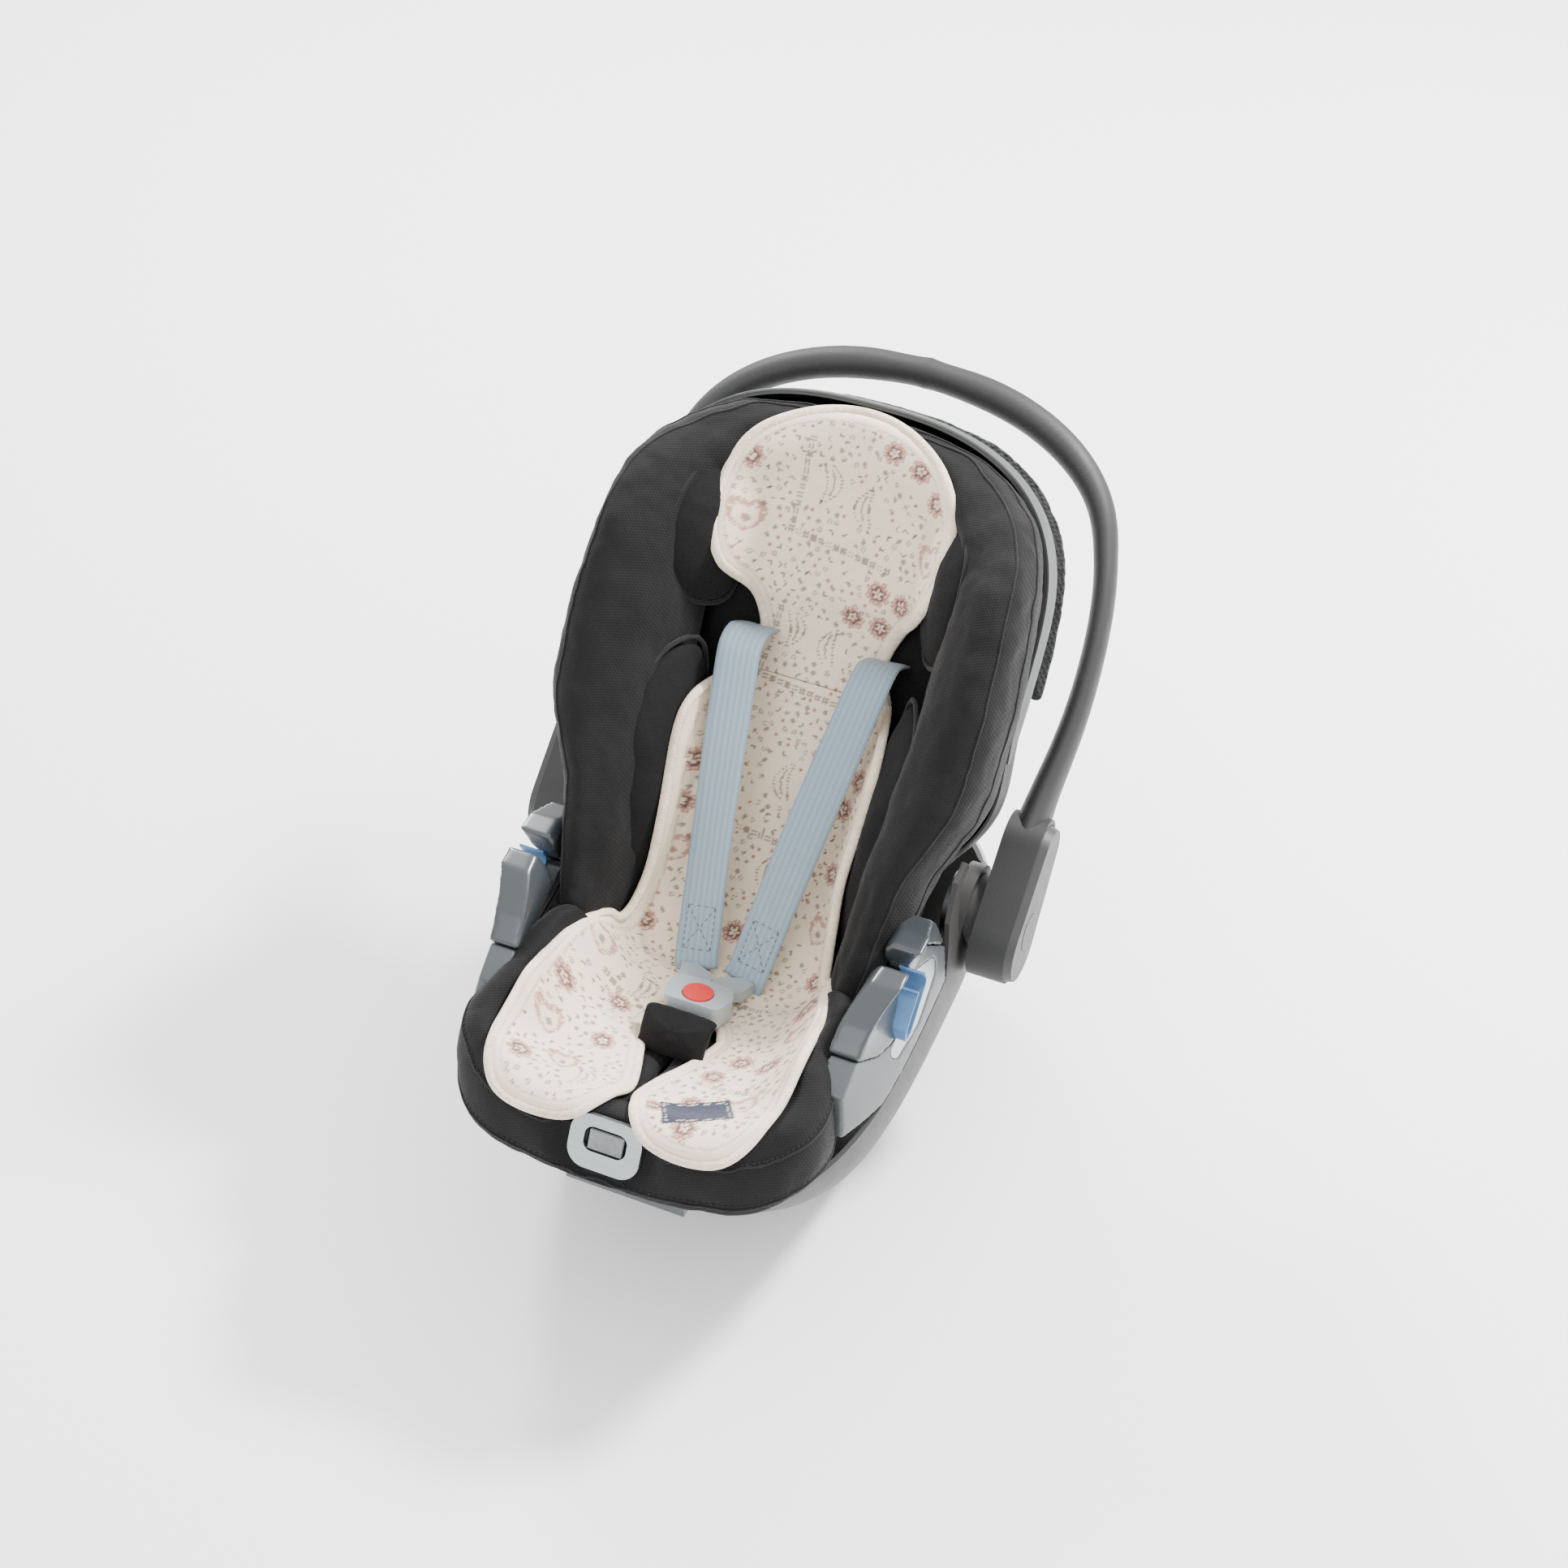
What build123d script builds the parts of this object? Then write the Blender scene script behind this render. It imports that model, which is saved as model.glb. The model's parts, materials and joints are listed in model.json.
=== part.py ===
from build123d import *
import math
import os

# Infant car seat. Millimetres, +Z up, feet toward -Y, origin on the floor under the rocker's flat.

# ---- driving dimensions ----
PIVOT = (40, 210)            # y, z of the carry handle's pivot axis
HIP = (-58, 150)             # y, z of the backrest's recline axis
BACK_ANGLE = 52.5            # backrest, degrees from horizontal
HANDLE_ANGLE = 42            # handle arms, degrees from horizontal
PAN_ANGLE = -18.3            # seat pan, falls toward the hips
TUB_HALF_WIDTH = 187         # base, across the belt guides
TUB_WALL = 4
TUB_FRONT = -343             # front end of the base rim
TUB_REAR = 212
FLAT_FRONT = -125            # flat of the rocker
FLAT_REAR = 120
FLAT_HALF_WIDTH = 122
HUB_INNER = 194              # inner face of the handle hubs
HUB_DEPTH = 34               # moulded part of a hub, under its outer cover
HUB_RADIUS = 38
PIN_RADIUS = 9
SHELL_HALF_WIDTH = 190       # backrest shell at its rim
SHELL_TOP_W = 515            # head end of the backrest shell, up the back
SHELL_WALL = 4
RIM_N = 25                   # height of the backrest rim in front of the back plane
STRAP_WIDTH = 38
STRAP_THICKNESS = 2.4
GAP = 0.5                    # clearance between moving pieces
RUNNING_GAP = 0.08           # radial clearance of the handle on its pins

back_along = Vector(0, math.cos(math.radians(BACK_ANGLE)), math.sin(math.radians(BACK_ANGLE)))
back_front = Vector(0, -back_along.Z, back_along.Y)
arm_along = Vector(0, math.cos(math.radians(HANDLE_ANGLE)), math.sin(math.radians(HANDLE_ANGLE)))
arm_front = Vector(0, -arm_along.Z, arm_along.Y)
hip_point = Vector(0, *HIP)
pivot_point = Vector(0, *PIVOT)

os.makedirs("parts", exist_ok=True)


# ---- helpers ----
def save(name, shape):
    export_step(shape, f"parts/{name}.step")


def mirrored(shape):
    return mirror(shape, about=Plane.YZ)


def save_pair(name, shape):
    """Right-hand piece (+X) and its mirror image."""
    save(name + "_right", shape)
    save(name + "_left", mirrored(shape))


def side_prism(points, x0, x1, radius=0):
    """Outline in (y, z), extruded from x0 to x1."""
    face = make_face(Polyline(*points, close=True))
    if radius:
        face = fillet(face.vertices(), radius)
    return extrude(Plane.YZ.offset(x0) * face, amount=x1 - x0)


def back_point(x, w, n):
    """Point of the backrest: x, distance up the back, height in front of the back plane."""
    return hip_point + Vector(x, 0, 0) + back_along * w + back_front * n


def back_plane(n):
    """Plane parallel to the back at height n; local x is X, local y runs up the back."""
    return Plane(origin=back_point(0, 0, n), x_dir=(1, 0, 0), z_dir=back_front)


def back_section(w, points):
    """Face across the back at height w, through (x, n) points."""
    corners = [back_point(x, w, n) for x, n in points]
    return make_face(Polyline(*corners, close=True))


def back_loft(sections):
    return loft([back_section(w, points) for w, points in sections], ruled=True)


def back_prism(points, n0, n1, radius=0):
    """Outline in (x, w), extruded from n0 to n1."""
    face = make_face(Polyline(*points, close=True))
    if radius:
        face = fillet(face.vertices(), radius)
    return extrude(back_plane(n0) * face, amount=n1 - n0)


def pan_plane(y, z):
    """Plane lying on the seat at (y, z); local y runs toward the hips."""
    tilt = math.radians(PAN_ANGLE)
    return Plane(origin=(0, y, z), x_dir=(1, 0, 0), z_dir=(0, -math.sin(tilt), math.cos(tilt)))


def strap(stations, width=STRAP_WIDTH, thickness=STRAP_THICKNESS):
    """Flat webbing through stations of (centre, width direction, face direction)."""
    faces = []
    for centre, across, normal in stations:
        plane = Plane(origin=centre, x_dir=across, z_dir=across.cross(normal))
        faces.append(plane * Rectangle(width, thickness))
    return loft(faces, ruled=True)


def power_curve(start, end, height, full, power):
    return start + (end - start) * min(1.0, height / full) ** power


# ---- base ----
def tub_face(z, inset):
    """Plan outline of the base at height z, squarer at the foot end."""
    front = power_curve(FLAT_FRONT, TUB_FRONT, z, 192, 0.6) + inset
    rear = power_curve(FLAT_REAR, TUB_REAR, z, 150, 0.6) - inset
    half = power_curve(FLAT_HALF_WIDTH, TUB_HALF_WIDTH, z, 150, 0.5) - inset
    middle = -20
    points = []
    steps = 20
    for i in range(steps):
        turn = 2 * math.pi * i / steps
        c = math.cos(turn)
        s = math.sin(turn)
        power = 3.6 if c < 0 else 2.8
        reach = middle - front if c < 0 else rear - middle
        y = middle + math.copysign(reach * abs(c) ** (2 / power), c)
        x = math.copysign(half * abs(s) ** (2 / power), s)
        points.append((x, y))
    return Plane.XY.offset(z) * make_face(Spline(*points, periodic=True))


def tub_solid(inset, floor):
    heights = [floor, floor + 14, 45, 90, 150, 200, 310]
    return loft([tub_face(z, inset) for z in heights])


def tub_wall(outer, inner):
    """Wall of the base between two insets, open at the top."""
    return tub_solid(outer, 0) - tub_solid(inner, 5)


# top edge of the dark outer shell: foot end, gap under the side panel, hub cheek, rear
SHELL_TOP = [
    (-400, -10), (-400, 188), (-182, 190), (-115, 196), (-42, 202), (-12, 240), (20, 258),
    (48, 256), (60, 222), (92, 186), (118, 170), (150, 150), (230, 142), (230, -10),
]


def base_shell():
    shell = tub_wall(0, TUB_WALL) & side_prism(SHELL_TOP, -230, 230)
    cheek = extrude(Plane.YZ.offset(170) * Location((*PIVOT, 0)) * Circle(40), amount=14)
    cheek += extrude(Plane.YZ.offset(182) * Location((*PIVOT, 0)) * Circle(33), amount=11.3)
    shell = shell + cheek + mirrored(cheek)
    shell -= extrude(Plane.YZ.offset(-200) * Location((*PIVOT, 0)) * Circle(PIN_RADIUS), amount=400)
    for y in (-BAR_Y, BAR_Y):
        shell -= Pos(0, y, 0) * Box(BAR_LENGTH, BAR_SLOT, 30)
    shell -= release_lever(GAP)
    shell -= recline_lever(GAP)
    return shell


BAR_Y = 92                   # steel latch bars under the rocker
BAR_LENGTH = 150
BAR_SLOT = 26
BAR_RADIUS = 5


def latch_bar(y):
    """Steel bar across a slot in the rocker, for a docking station."""
    return Pos(0, y, 18) * Rot(0, 90, 0) * Cylinder(BAR_RADIUS, BAR_LENGTH + 16)


def release_lever(grow=0):
    """Lever at the rear of the base that lets the seat off its stand."""
    return Pos(0, TUB_REAR - 29, 112) * Box(84 + 2 * grow, 50 + 2 * grow, 9 + 2 * grow)


def recline_lever(grow=0):
    """Squeeze bar under the foot end that frees the recline."""
    return Pos(0, -290, 128) * Box(110 + 2 * grow, 34 + 2 * grow, 12 + 2 * grow)


def side_panel():
    """Grey cover of the side wall, between the foot-end cover and the hub."""
    outline = [
        (-244, 214), (-182, 193.5), (-115, 199.5), (-44, 205.5), (-30, 232), (-60, 262),
        (-104, 262), (-140, 232), (-176, 244), (-205, 266), (-232, 250),
    ]
    wall = tub_wall(-1.5, 20) & side_prism(outline, 100, 230)
    return wall - leaf_prism(0, 100, 230) - slot_prism(-SLOT_SKIN, 100, 230)


def leaf_prism(shrink, x0, x1):
    """Long leaf-shaped plate round the belt slot."""
    outline = [(-50, 240), (-58, 228), (-105, 214), (-150, 216), (-160, 228), (-128, 238), (-94, 262)]
    face = fillet(make_face(Polyline(*outline, close=True)).vertices(), 6)
    if shrink:
        face = offset(face, -shrink)
    return extrude(Plane.YZ.offset(x0) * face, amount=x1 - x0)


SLOT_SKIN = 2.2              # room for the slot's lining


def slot_prism(grow, x0, x1):
    """Belt slot: opens upward beside the cap, then runs down toward the feet."""
    path = [(-119, 316), (-117, 286), (-108, 268), (-138, 243)]
    shape = None
    for a, b in zip(path, path[1:]):
        for p in (a, b):
            disc = Location((*p, 0)) * Circle(7.5 - grow)
            shape = disc if shape is None else shape + disc
        length = math.dist(a, b)
        angle = math.degrees(math.atan2(b[1] - a[1], b[0] - a[0]))
        middle = ((a[0] + b[0]) / 2, (a[1] + b[1]) / 2)
        shape += Location((*middle, 0), (0, 0, angle)) * Rectangle(length, 15 - 2 * grow)
    return extrude(Plane.YZ.offset(x0) * shape, amount=x1 - x0)


def guide_trim():
    wall = tub_wall(-0.5, 19) & leaf_prism(0.3, 100, 230)
    return wall - slot_prism(-SLOT_SKIN, 100, 230)


def belt_hook():
    outline = [(-127, 306), (-150, 304), (-184, 286), (-206, 267.5), (-176, 245), (-146, 236),
               (-140, 250), (-126, 262), (-128, 284)]
    wall = tub_wall(-4, 22) & side_prism(outline, 100, 230, 4)
    return wall - slot_prism(-SLOT_SKIN, 100, 230) - leaf_prism(0, 100, 230)


def guide_cap():
    outline = [(-111, 306), (-86, 306), (-60, 296), (-36, 266), (-29, 233), (-60, 263), (-93, 263),
               (-101, 274), (-110, 288)]
    wall = tub_wall(-3, 24) & side_prism(outline, 153, 230, 3)
    return wall - slot_prism(-SLOT_SKIN, 100, 230)


def slot_liner():
    """Coloured lining of the belt slot's lower wall."""
    skin = slot_prism(-2, 166, 189) - slot_prism(0.2, 160, 200)
    keep = side_prism([(-96, 285), (-160, 250), (-150, 225), (-90, 225)], 160, 200)
    return skin & keep


# ---- foot end and seat ----
PAN_FRONT = (-314, 234)      # y, z of the seat cushion's top at the foot end
PAN_REAR = (-86, 159)
SEAT_HALF_WIDTH = 122
CROTCH_Y = -176              # crotch strap, where it comes up through the seat


def seat_pad():
    outline = [(-322, 212), PAN_FRONT, (-200, 197), PAN_REAR, (-88, 128), (-200, 164), (-320, 198)]
    pad = side_prism(outline, -SEAT_HALF_WIDTH, SEAT_HALF_WIDTH)
    return pad - strap_slot() - adjuster_block(23, 18, 0)


def strap_slot():
    """Slot through the seat for the crotch strap."""
    return Pos(0, CROTCH_Y, 160) * Box(STRAP_WIDTH + 4, 8, 120)


def adjuster_block(half_width, half_length, depth):
    """Room for the harness adjuster, measured from its face."""
    plane = adjuster_plane()
    return extrude(plane.offset(-36 + depth) * Pos(0, 3) * Rectangle(2 * half_width, 2 * half_length), amount=80)


def seat_pan():
    outline = [(-326, 195), (-200, 161), (-88, 125), (-92, 118), (-200, 154), (-322, 189)]
    pan = side_prism(outline, -SEAT_HALF_WIDTH, SEAT_HALF_WIDTH) & tub_solid(TUB_WALL + 1, 5)
    return pan - strap_slot() - adjuster_block(23, 18, 0)


def leg_cover():
    """Padded cover over the foot end, with a flap on each side of the lap."""
    ring = loft([tub_face(z, inset) for z, inset in ((190, -9), (212, -3), (236, 14), (252, 29))])
    hollow = side_prism([(-326, 300), (-326, 180), (0, 180), (0, 300)], -124, 124)
    front = side_prism([(-400, 190.5), (-246, 190.5), (-246, 300), (-400, 300)], -230, 230)
    outline = [(-248, 204), (-240, 248), (-190, 264), (-132, 264), (-119, 246), (-122, 204)]
    flap = side_prism(outline, 124, 230) & tub_solid(27, 5)
    flap -= Pos(124, -100, 230) * Box(42, 150, 100)
    cover = (ring & front) - hollow + flap + mirrored(flap)
    recess = extrude(adjuster_plane().offset(7.7) * Rectangle(65, 49), amount=40)
    return cover - recess - adjuster_block(23, 18, 0)


def adjuster_plane():
    tilt = math.radians(60)
    return Plane(origin=(0, -325, 221), x_dir=(1, 0, 0), z_dir=(0, -math.sin(tilt), math.cos(tilt)))


def adjuster_plate():
    face = fillet(Rectangle(64, 48).vertices(), 17)
    hole = Pos(0, 3) * fillet(Rectangle(38, 22).vertices(), 8)
    plate = extrude(adjuster_plane().offset(8) * (face - hole), amount=5)
    return plate


def adjuster_strap():
    plane = adjuster_plane()
    return plane.offset(10) * Pos(0, 2) * Box(30, 17, 3)


def adjuster_housing():
    plane = adjuster_plane()
    body = extrude(plane.offset(-34) * Pos(0, 3) * fillet(Rectangle(44, 34).vertices(), 5), amount=41.5)
    well = extrude(plane.offset(-26) * Pos(0, 3) * Rectangle(36, 26), amount=40)
    return body - well


def adjuster_cam():
    """Sprung cam across the adjuster housing that grips the pull strap."""
    return adjuster_plane().offset(-12) * Pos(0, 9) * Box(34, 9, 8)


# ---- harness ----
BUCKLE_Y = -159
BUCKLE_Z = 199
BUTTON_UP = 3                # middle of the release button, toward the hips
BUTTON_RADIUS = 13.5


def buckle_plane(height=0):
    return pan_plane(BUCKLE_Y, BUCKLE_Z).offset(height)


def buckle_body():
    points = [(-25, -14), (25, -14), (30, 10), (24, 26), (-24, 26), (-30, 10)]
    body = extrude(buckle_plane() * fillet(make_face(Polyline(*points, close=True)).vertices(), 7), amount=20)
    well = extrude(buckle_plane(8) * Pos(0, BUTTON_UP) * Circle(BUTTON_RADIUS + GAP), amount=20)
    mouth = extrude(buckle_plane(5) * Pos(0, 21) * Rectangle(42, 14), amount=6)
    return body - well - mouth


def buckle_button():
    """Round release button, just proud of the buckle's face."""
    return extrude(buckle_plane(11.5) * Pos(0, BUTTON_UP) * Circle(BUTTON_RADIUS), amount=10)


def tongue():
    """Right half of the split tongue: blade in the buckle, plate above, strap bar behind."""
    blade = extrude(buckle_plane(6) * Pos(10.5, 23) * Rectangle(20, 11), amount=4)
    points = [(0.4, 27), (24, 27), (30, 32), (34, 50), (22, 54), (4, 44), (0.4, 38)]
    plate = extrude(buckle_plane(5) * make_face(Polyline(*points, close=True)), amount=10)
    return plate + blade


def crotch_strap():
    stations = []
    for y, z in ((CROTCH_Y, 118), (CROTCH_Y, 188), (CROTCH_Y + 2, 201)):
        stations.append((Vector(0, y, z), Vector(1, 0, 0), Vector(0, -1, 0)))
    return strap(stations)


def crotch_pad():
    """Padded flap in front of the crotch strap, below the buckle."""
    outline = [(-211, 203.5), (-205, 217), (-191, 227), (-178.5, 227), (-178.5, 196.5), (-196, 201)]
    return side_prism(outline, -30, 30, 3)


SHOULDER_W = 279             # where the shoulder straps come out of the back
SHOULDER_X = 60
STRAP_SPLIT = 0.24           # share of the run that belongs to the stitched strap end


def strap_run(t, drop=0):
    """Centre of the right strap, from the tongue (0) to the shoulder (1)."""
    x = 24 + (SHOULDER_X - 24) * t
    w = 12 + (SHOULDER_W - 12) * t
    n = 64 - 23 * t + 2.5 * math.sin(math.pi * t)
    return back_point(x, w, n - drop)


def strap_stations(t0, t1, count, drop=0):
    stations = []
    for i in range(count):
        t = t0 + (t1 - t0) * i / (count - 1)
        here = strap_run(t, drop)
        along = (strap_run(t + 0.01) - strap_run(t - 0.01)).normalized()
        across = (Vector(1, 0, 0) - along * along.X).normalized()
        stations.append((here, across, across.cross(along) * -1))
    return stations


def strap_end():
    return strap(strap_stations(0.0, STRAP_SPLIT, 3, 5), thickness=4.6)


def shoulder_strap():
    lower = strap_stations(STRAP_SPLIT + 0.01, 1.0, 5)
    x = Vector(1, 0, 0)
    over = [
        (back_point(SHOULDER_X + 1, SHOULDER_W + 14, 40), x, (back_front + back_along * 0.9).normalized()),
        (back_point(SHOULDER_X + 1, SHOULDER_W + 20, 28), x, back_along),
        (back_point(SHOULDER_X + 1, SHOULDER_W + 21, -30), x, back_along),
    ]
    return strap(lower + over)


# ---- backrest ----
HEAD_MIDDLE = 350            # where the backrest's sides start to round over the head


def shell_half_width(w, half, top):
    """Half-width of the backrest outline at height w up the back."""
    if w > HEAD_MIDDLE:
        return half * max(0.0, 1 - ((w - HEAD_MIDDLE) / (top - HEAD_MIDDLE)) ** 2.6) ** (1 / 2.6)
    if w > 185:
        return half
    lower = half - 33
    if w < 150:
        return lower - (150 - w) * 0.12
    return lower + 33 * (w - 150) / 35


def shell_face(n, half, top, bottom):
    straight = [bottom, 60, 140, 170, 202, 260, HEAD_MIDDLE]
    round_shares = [0.35, 0.61, 0.82, 0.95]
    levels = straight + [HEAD_MIDDLE + (top - HEAD_MIDDLE) * share for share in round_shares]
    right = [(shell_half_width(w, half, top), w) for w in levels]
    left = [(-x, w) for x, w in reversed(right)]
    edge = Spline(*right, (0, top), *left)
    base = Line(left[-1], right[0])
    return back_plane(n) * make_face(edge + base)


def shell_solid(inset, front):
    sections = [
        (front, SHELL_HALF_WIDTH - inset, SHELL_TOP_W - inset, 4 + inset),
        (-20, SHELL_HALF_WIDTH - 3 - inset, SHELL_TOP_W - 4 - inset, -4 + inset),
        (-52, SHELL_HALF_WIDTH - 20 - inset, SHELL_TOP_W - 21 - inset, 0 + inset),
        (-74 + inset, SHELL_HALF_WIDTH - 62 - inset, SHELL_TOP_W - 59 - inset, 16 + inset),
    ]
    return loft([shell_face(*s) for s in sections])


def backrest_shell():
    shell = shell_solid(0, RIM_N - 1) - shell_solid(SHELL_WALL, RIM_N + 12)
    for side in (-1, 1):
        shell -= back_prism([(side * 36, 296), (side * 84, 296), (side * 84, 306), (side * 36, 306)], -120, 0)
    shell -= back_prism([(-30, 60), (30, 60), (30, 78), (-30, 78)], -120, -40)
    return shell


def shell_rim():
    """Light edge band that runs round the head end and tapers to a point on each side."""
    band = shell_solid(-2, RIM_N - 1) - shell_solid(-0.3, RIM_N - 1)
    corners = [(0, 250, 20), (0, 330, -24), (0, 540, -30), (0, 540, 60), (0, 250, 60)]
    outline = make_face(Polyline(*[back_point(*c) for c in corners], close=True))
    return band & extrude(outline, amount=260, both=True)


def back_pad():
    pad = back_prism([(-78, 10), (78, 10), (84, 120), (80, 303), (-80, 303), (-84, 120)], -34, 6, 8)
    for side in (-1, 1):
        pad -= back_prism([(side * 36, 292), (side * 86, 292), (side * 86, 308), (side * 36, 308)], -60, 30)
    return pad


BOLSTER = [                  # height, base x, inner x, ridge n, ridge x inside and outside
    (-4, 112, 98, 126, 102, 126), (60, 98, 110, 136, 116, 142), (145, 100, 124, 140, 130, 157),
    (205, 104, 134, 144, 142, 194), (330, 110, 140, 144, 148, 196), (400, 112, 136, 134, 146, 186),
    (452, 116, 122, 100, 134, 160),
]


def bolster():
    """Side bolster of the backrest, right hand: fills the shell, then rises above its rim."""
    sections = []
    for w, base, inner, ridge, x_in, x_out in BOLSTER:
        wall = shell_half_width(max(w, 6), SHELL_HALF_WIDTH, SHELL_TOP_W) - 8
        foot = 60 if w < 0 else -16
        step = 62 if w < 0 else RIM_N + 3
        wall = 120 if w < 0 else wall
        sections.append((w, [(base, foot), (inner, ridge * 0.72), (x_in, ridge), (x_out, ridge - 12),
                             (min(wall + 6, x_out), step + 14), (wall, step), (wall - 3, foot)]))
    return back_loft(sections)


def head_bolster():
    """Cushion that closes the bucket round the head."""
    outer = shell_solid(7, RIM_N + 21)
    inner = extrude(back_plane(-60) * Pos(0, 370) * Ellipse(112, 122), amount=200)
    keep = back_prism([(-220, 456), (220, 456), (220, 560), (-220, 560)], -34, 60)
    return (outer & keep) - inner


def body_cushion():
    """Newborn cushion beside the body, right hand."""
    sections = [
        (44, [(84, 14), (86, 30), (92, 34), (97, 14)]),
        (150, [(86, 14), (88, 46), (98, 62), (106, 44), (98, 14)]),
        (262, [(86, 14), (88, 34), (98, 50), (107, 30), (100, 14)]),
    ]
    return back_loft(sections)


def canopy_pack():
    """Folded canopy fabric, stowed in a strip behind the head end of the shell."""
    band = shell_solid(-12, RIM_N - 1) - shell_solid(-0.6, RIM_N - 1)
    return band & back_prism([(-230, 300), (230, 300), (230, 560), (-230, 560)], -58, -32)


def liner_back():
    """Washable liner over the body part of the back."""
    right = [(58, 14), (70, 60), (80, 150), (82, 215), (74, 262), (56, 288)]
    left = [(-x, w) for x, w in reversed(right)]
    return back_prism(right + left, 8, 12)


def liner_seat():
    """Washable liner over the seat: two thigh lobes round the crotch pad."""
    right = [(0, -54), (66, -50), (84, -90), (118, -160), (124, -200), (84, -232), (30, -214), (32, -112),
             (0, -104)]
    left = [(-x, w) for x, w in reversed(right[1:-1])]
    face = make_face(Polyline(*(right + left), close=True))
    plane = pan_plane(-86, 163.5)
    return extrude(plane * Pos(0, 44) * face, amount=4)


# ---- headrest ----
HEADREST_BOTTOM = 345


def headrest_plate():
    low = HEADREST_BOTTOM
    plate = back_prism([(-100, low), (100, low), (100, 430), (66, 470), (-66, 470), (-100, 430)], -44, -38, 12)
    return plate + back_prism([(-30, 214), (30, 214), (30, low + 10), (-30, low + 10)], -44, -38)


def head_pad():
    low = HEADREST_BOTTOM
    return back_prism([(-70, low), (70, low), (80, 400), (74, 446), (48, 468), (-48, 468), (-74, 446),
                       (-80, 400)], -37.5, 14, 12)


def headrest_wing():
    sections = [
        (330, [(84, -36), (86, 40), (96, 62), (104, 56), (98, -36)]),
        (385, [(86, -36), (96, 54), (108, 80), (118, 70), (100, -36)]),
        (436, [(84, -36), (88, 44), (98, 60), (106, 52), (96, -36)]),
    ]
    return back_loft(sections)


def liner_head():
    """Washable liner over the head part."""
    right = [(52, 348), (76, 380), (80, 430), (70, 462), (40, 476)]
    left = [(-x, w) for x, w in reversed(right)]
    return back_prism(right + left, 15, 19, 8)


def headrest_grip():
    """Squeeze grip behind the headrest that lets it slide."""
    return back_prism([(-32, 452), (32, 452), (32, 463), (-32, 463)], -56, -44.4, 4)


# ---- handle ----
ARM = [                      # centre line of one arm: x, distance from pivot, width, depth
    (214, 50, 37, 64), (212, 100, 28, 46), (217, 150, 24, 36), (220, 200, 22, 32),
    (218.5, 250, 21, 30), (212, 300, 21, 29), (202.5, 336, 22, 28), (189, 368, 24, 28),
    (168, 394, 26, 28), (138, 416, 28, 28), (100, 433, 29, 28), (52, 444, 29, 28), (0, 448, 29, 28),
]


def arm_point(x, v, m):
    return pivot_point + Vector(x, 0, 0) + arm_along * v + arm_front * m


def handle_half():
    sections = []
    for i, (x, v, width, depth) in enumerate(ARM):
        before = ARM[max(i - 1, 0)]
        after = ARM[min(i + 1, len(ARM) - 1)]
        along = (arm_point(after[0], after[1], 0) - arm_point(before[0], before[1], 0)).normalized()
        if i == len(ARM) - 1:
            along = Vector(-1, 0, 0)
        across = along.cross(arm_front)
        plane = Plane(origin=arm_point(x, v, 0), x_dir=across, z_dir=along)
        sections.append(plane * Ellipse(width / 2, depth / 2))
    return loft(sections)


def hub_face(radius_low, radius_high):
    low = Location((-18, 0, 0)) * Circle(radius_low)
    high = Location((64, 0, 0)) * Circle(radius_high)
    return make_hull(low.edges() + high.edges())


def hub_plane(x):
    """Plane across the pivot axis; local x runs along the arm."""
    return Plane(origin=pivot_point + Vector(x, 0, 0), x_dir=arm_along, z_dir=(1, 0, 0))


HUB_FACE = HUB_INNER + HUB_DEPTH - 1


def handle_solid():
    half = handle_half()
    hub = extrude(hub_plane(HUB_INNER) * hub_face(HUB_RADIUS, 31), amount=HUB_DEPTH)
    side = half + hub
    side -= extrude(hub_plane(180) * Circle(PIN_RADIUS + RUNNING_GAP), amount=38)
    side -= extrude(hub_plane(HUB_FACE - 8) * Pos(-6, 0) * Circle(18), amount=30)
    side -= extrude(hub_plane(HUB_FACE) * hub_face(HUB_RADIUS - 1, 27), amount=30)
    return side + mirrored(side)


def handle_shell(front):
    """One moulding of the handle: split along the plane of the arms."""
    reach = 700
    shift = arm_front * (reach / 2 if front else -reach / 2)
    plane = Plane(origin=pivot_point + shift, x_dir=(1, 0, 0), z_dir=arm_front)
    return handle_solid() & (plane * Box(reach, 2 * reach, reach))


def hub_cover():
    cover = extrude(hub_plane(HUB_FACE + 0.1) * hub_face(HUB_RADIUS - 1.5, 26), amount=8, taper=18)
    return cover - extrude(hub_plane(HUB_FACE - 20) * Pos(-6, 0) * Circle(17.4), amount=40)


def handle_button():
    """Round button in the outer face of a hub; pressed inward, it frees the handle."""
    return extrude(hub_plane(HUB_FACE - 3) * Pos(-6, 0) * Circle(17), amount=11.5)


def pivot_pin():
    return extrude(hub_plane(161.5) * Circle(PIN_RADIUS), amount=50)


def pivot_disc():
    """Round cap of the pivot inside the base wall, right hand."""
    return extrude(hub_plane(161) * (Circle(30) - Circle(PIN_RADIUS + 0.05)), amount=8.8)


def rear_cover():
    """Light moulding that closes the rear of the base."""
    wall = tub_wall(-3, -0.4) & side_prism([(128, 60), (128, 150), (230, 146), (230, 60)], -230, 230)
    return wall - Pos(0, TUB_REAR, 112) * Box(96, 60, 22)


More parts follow.
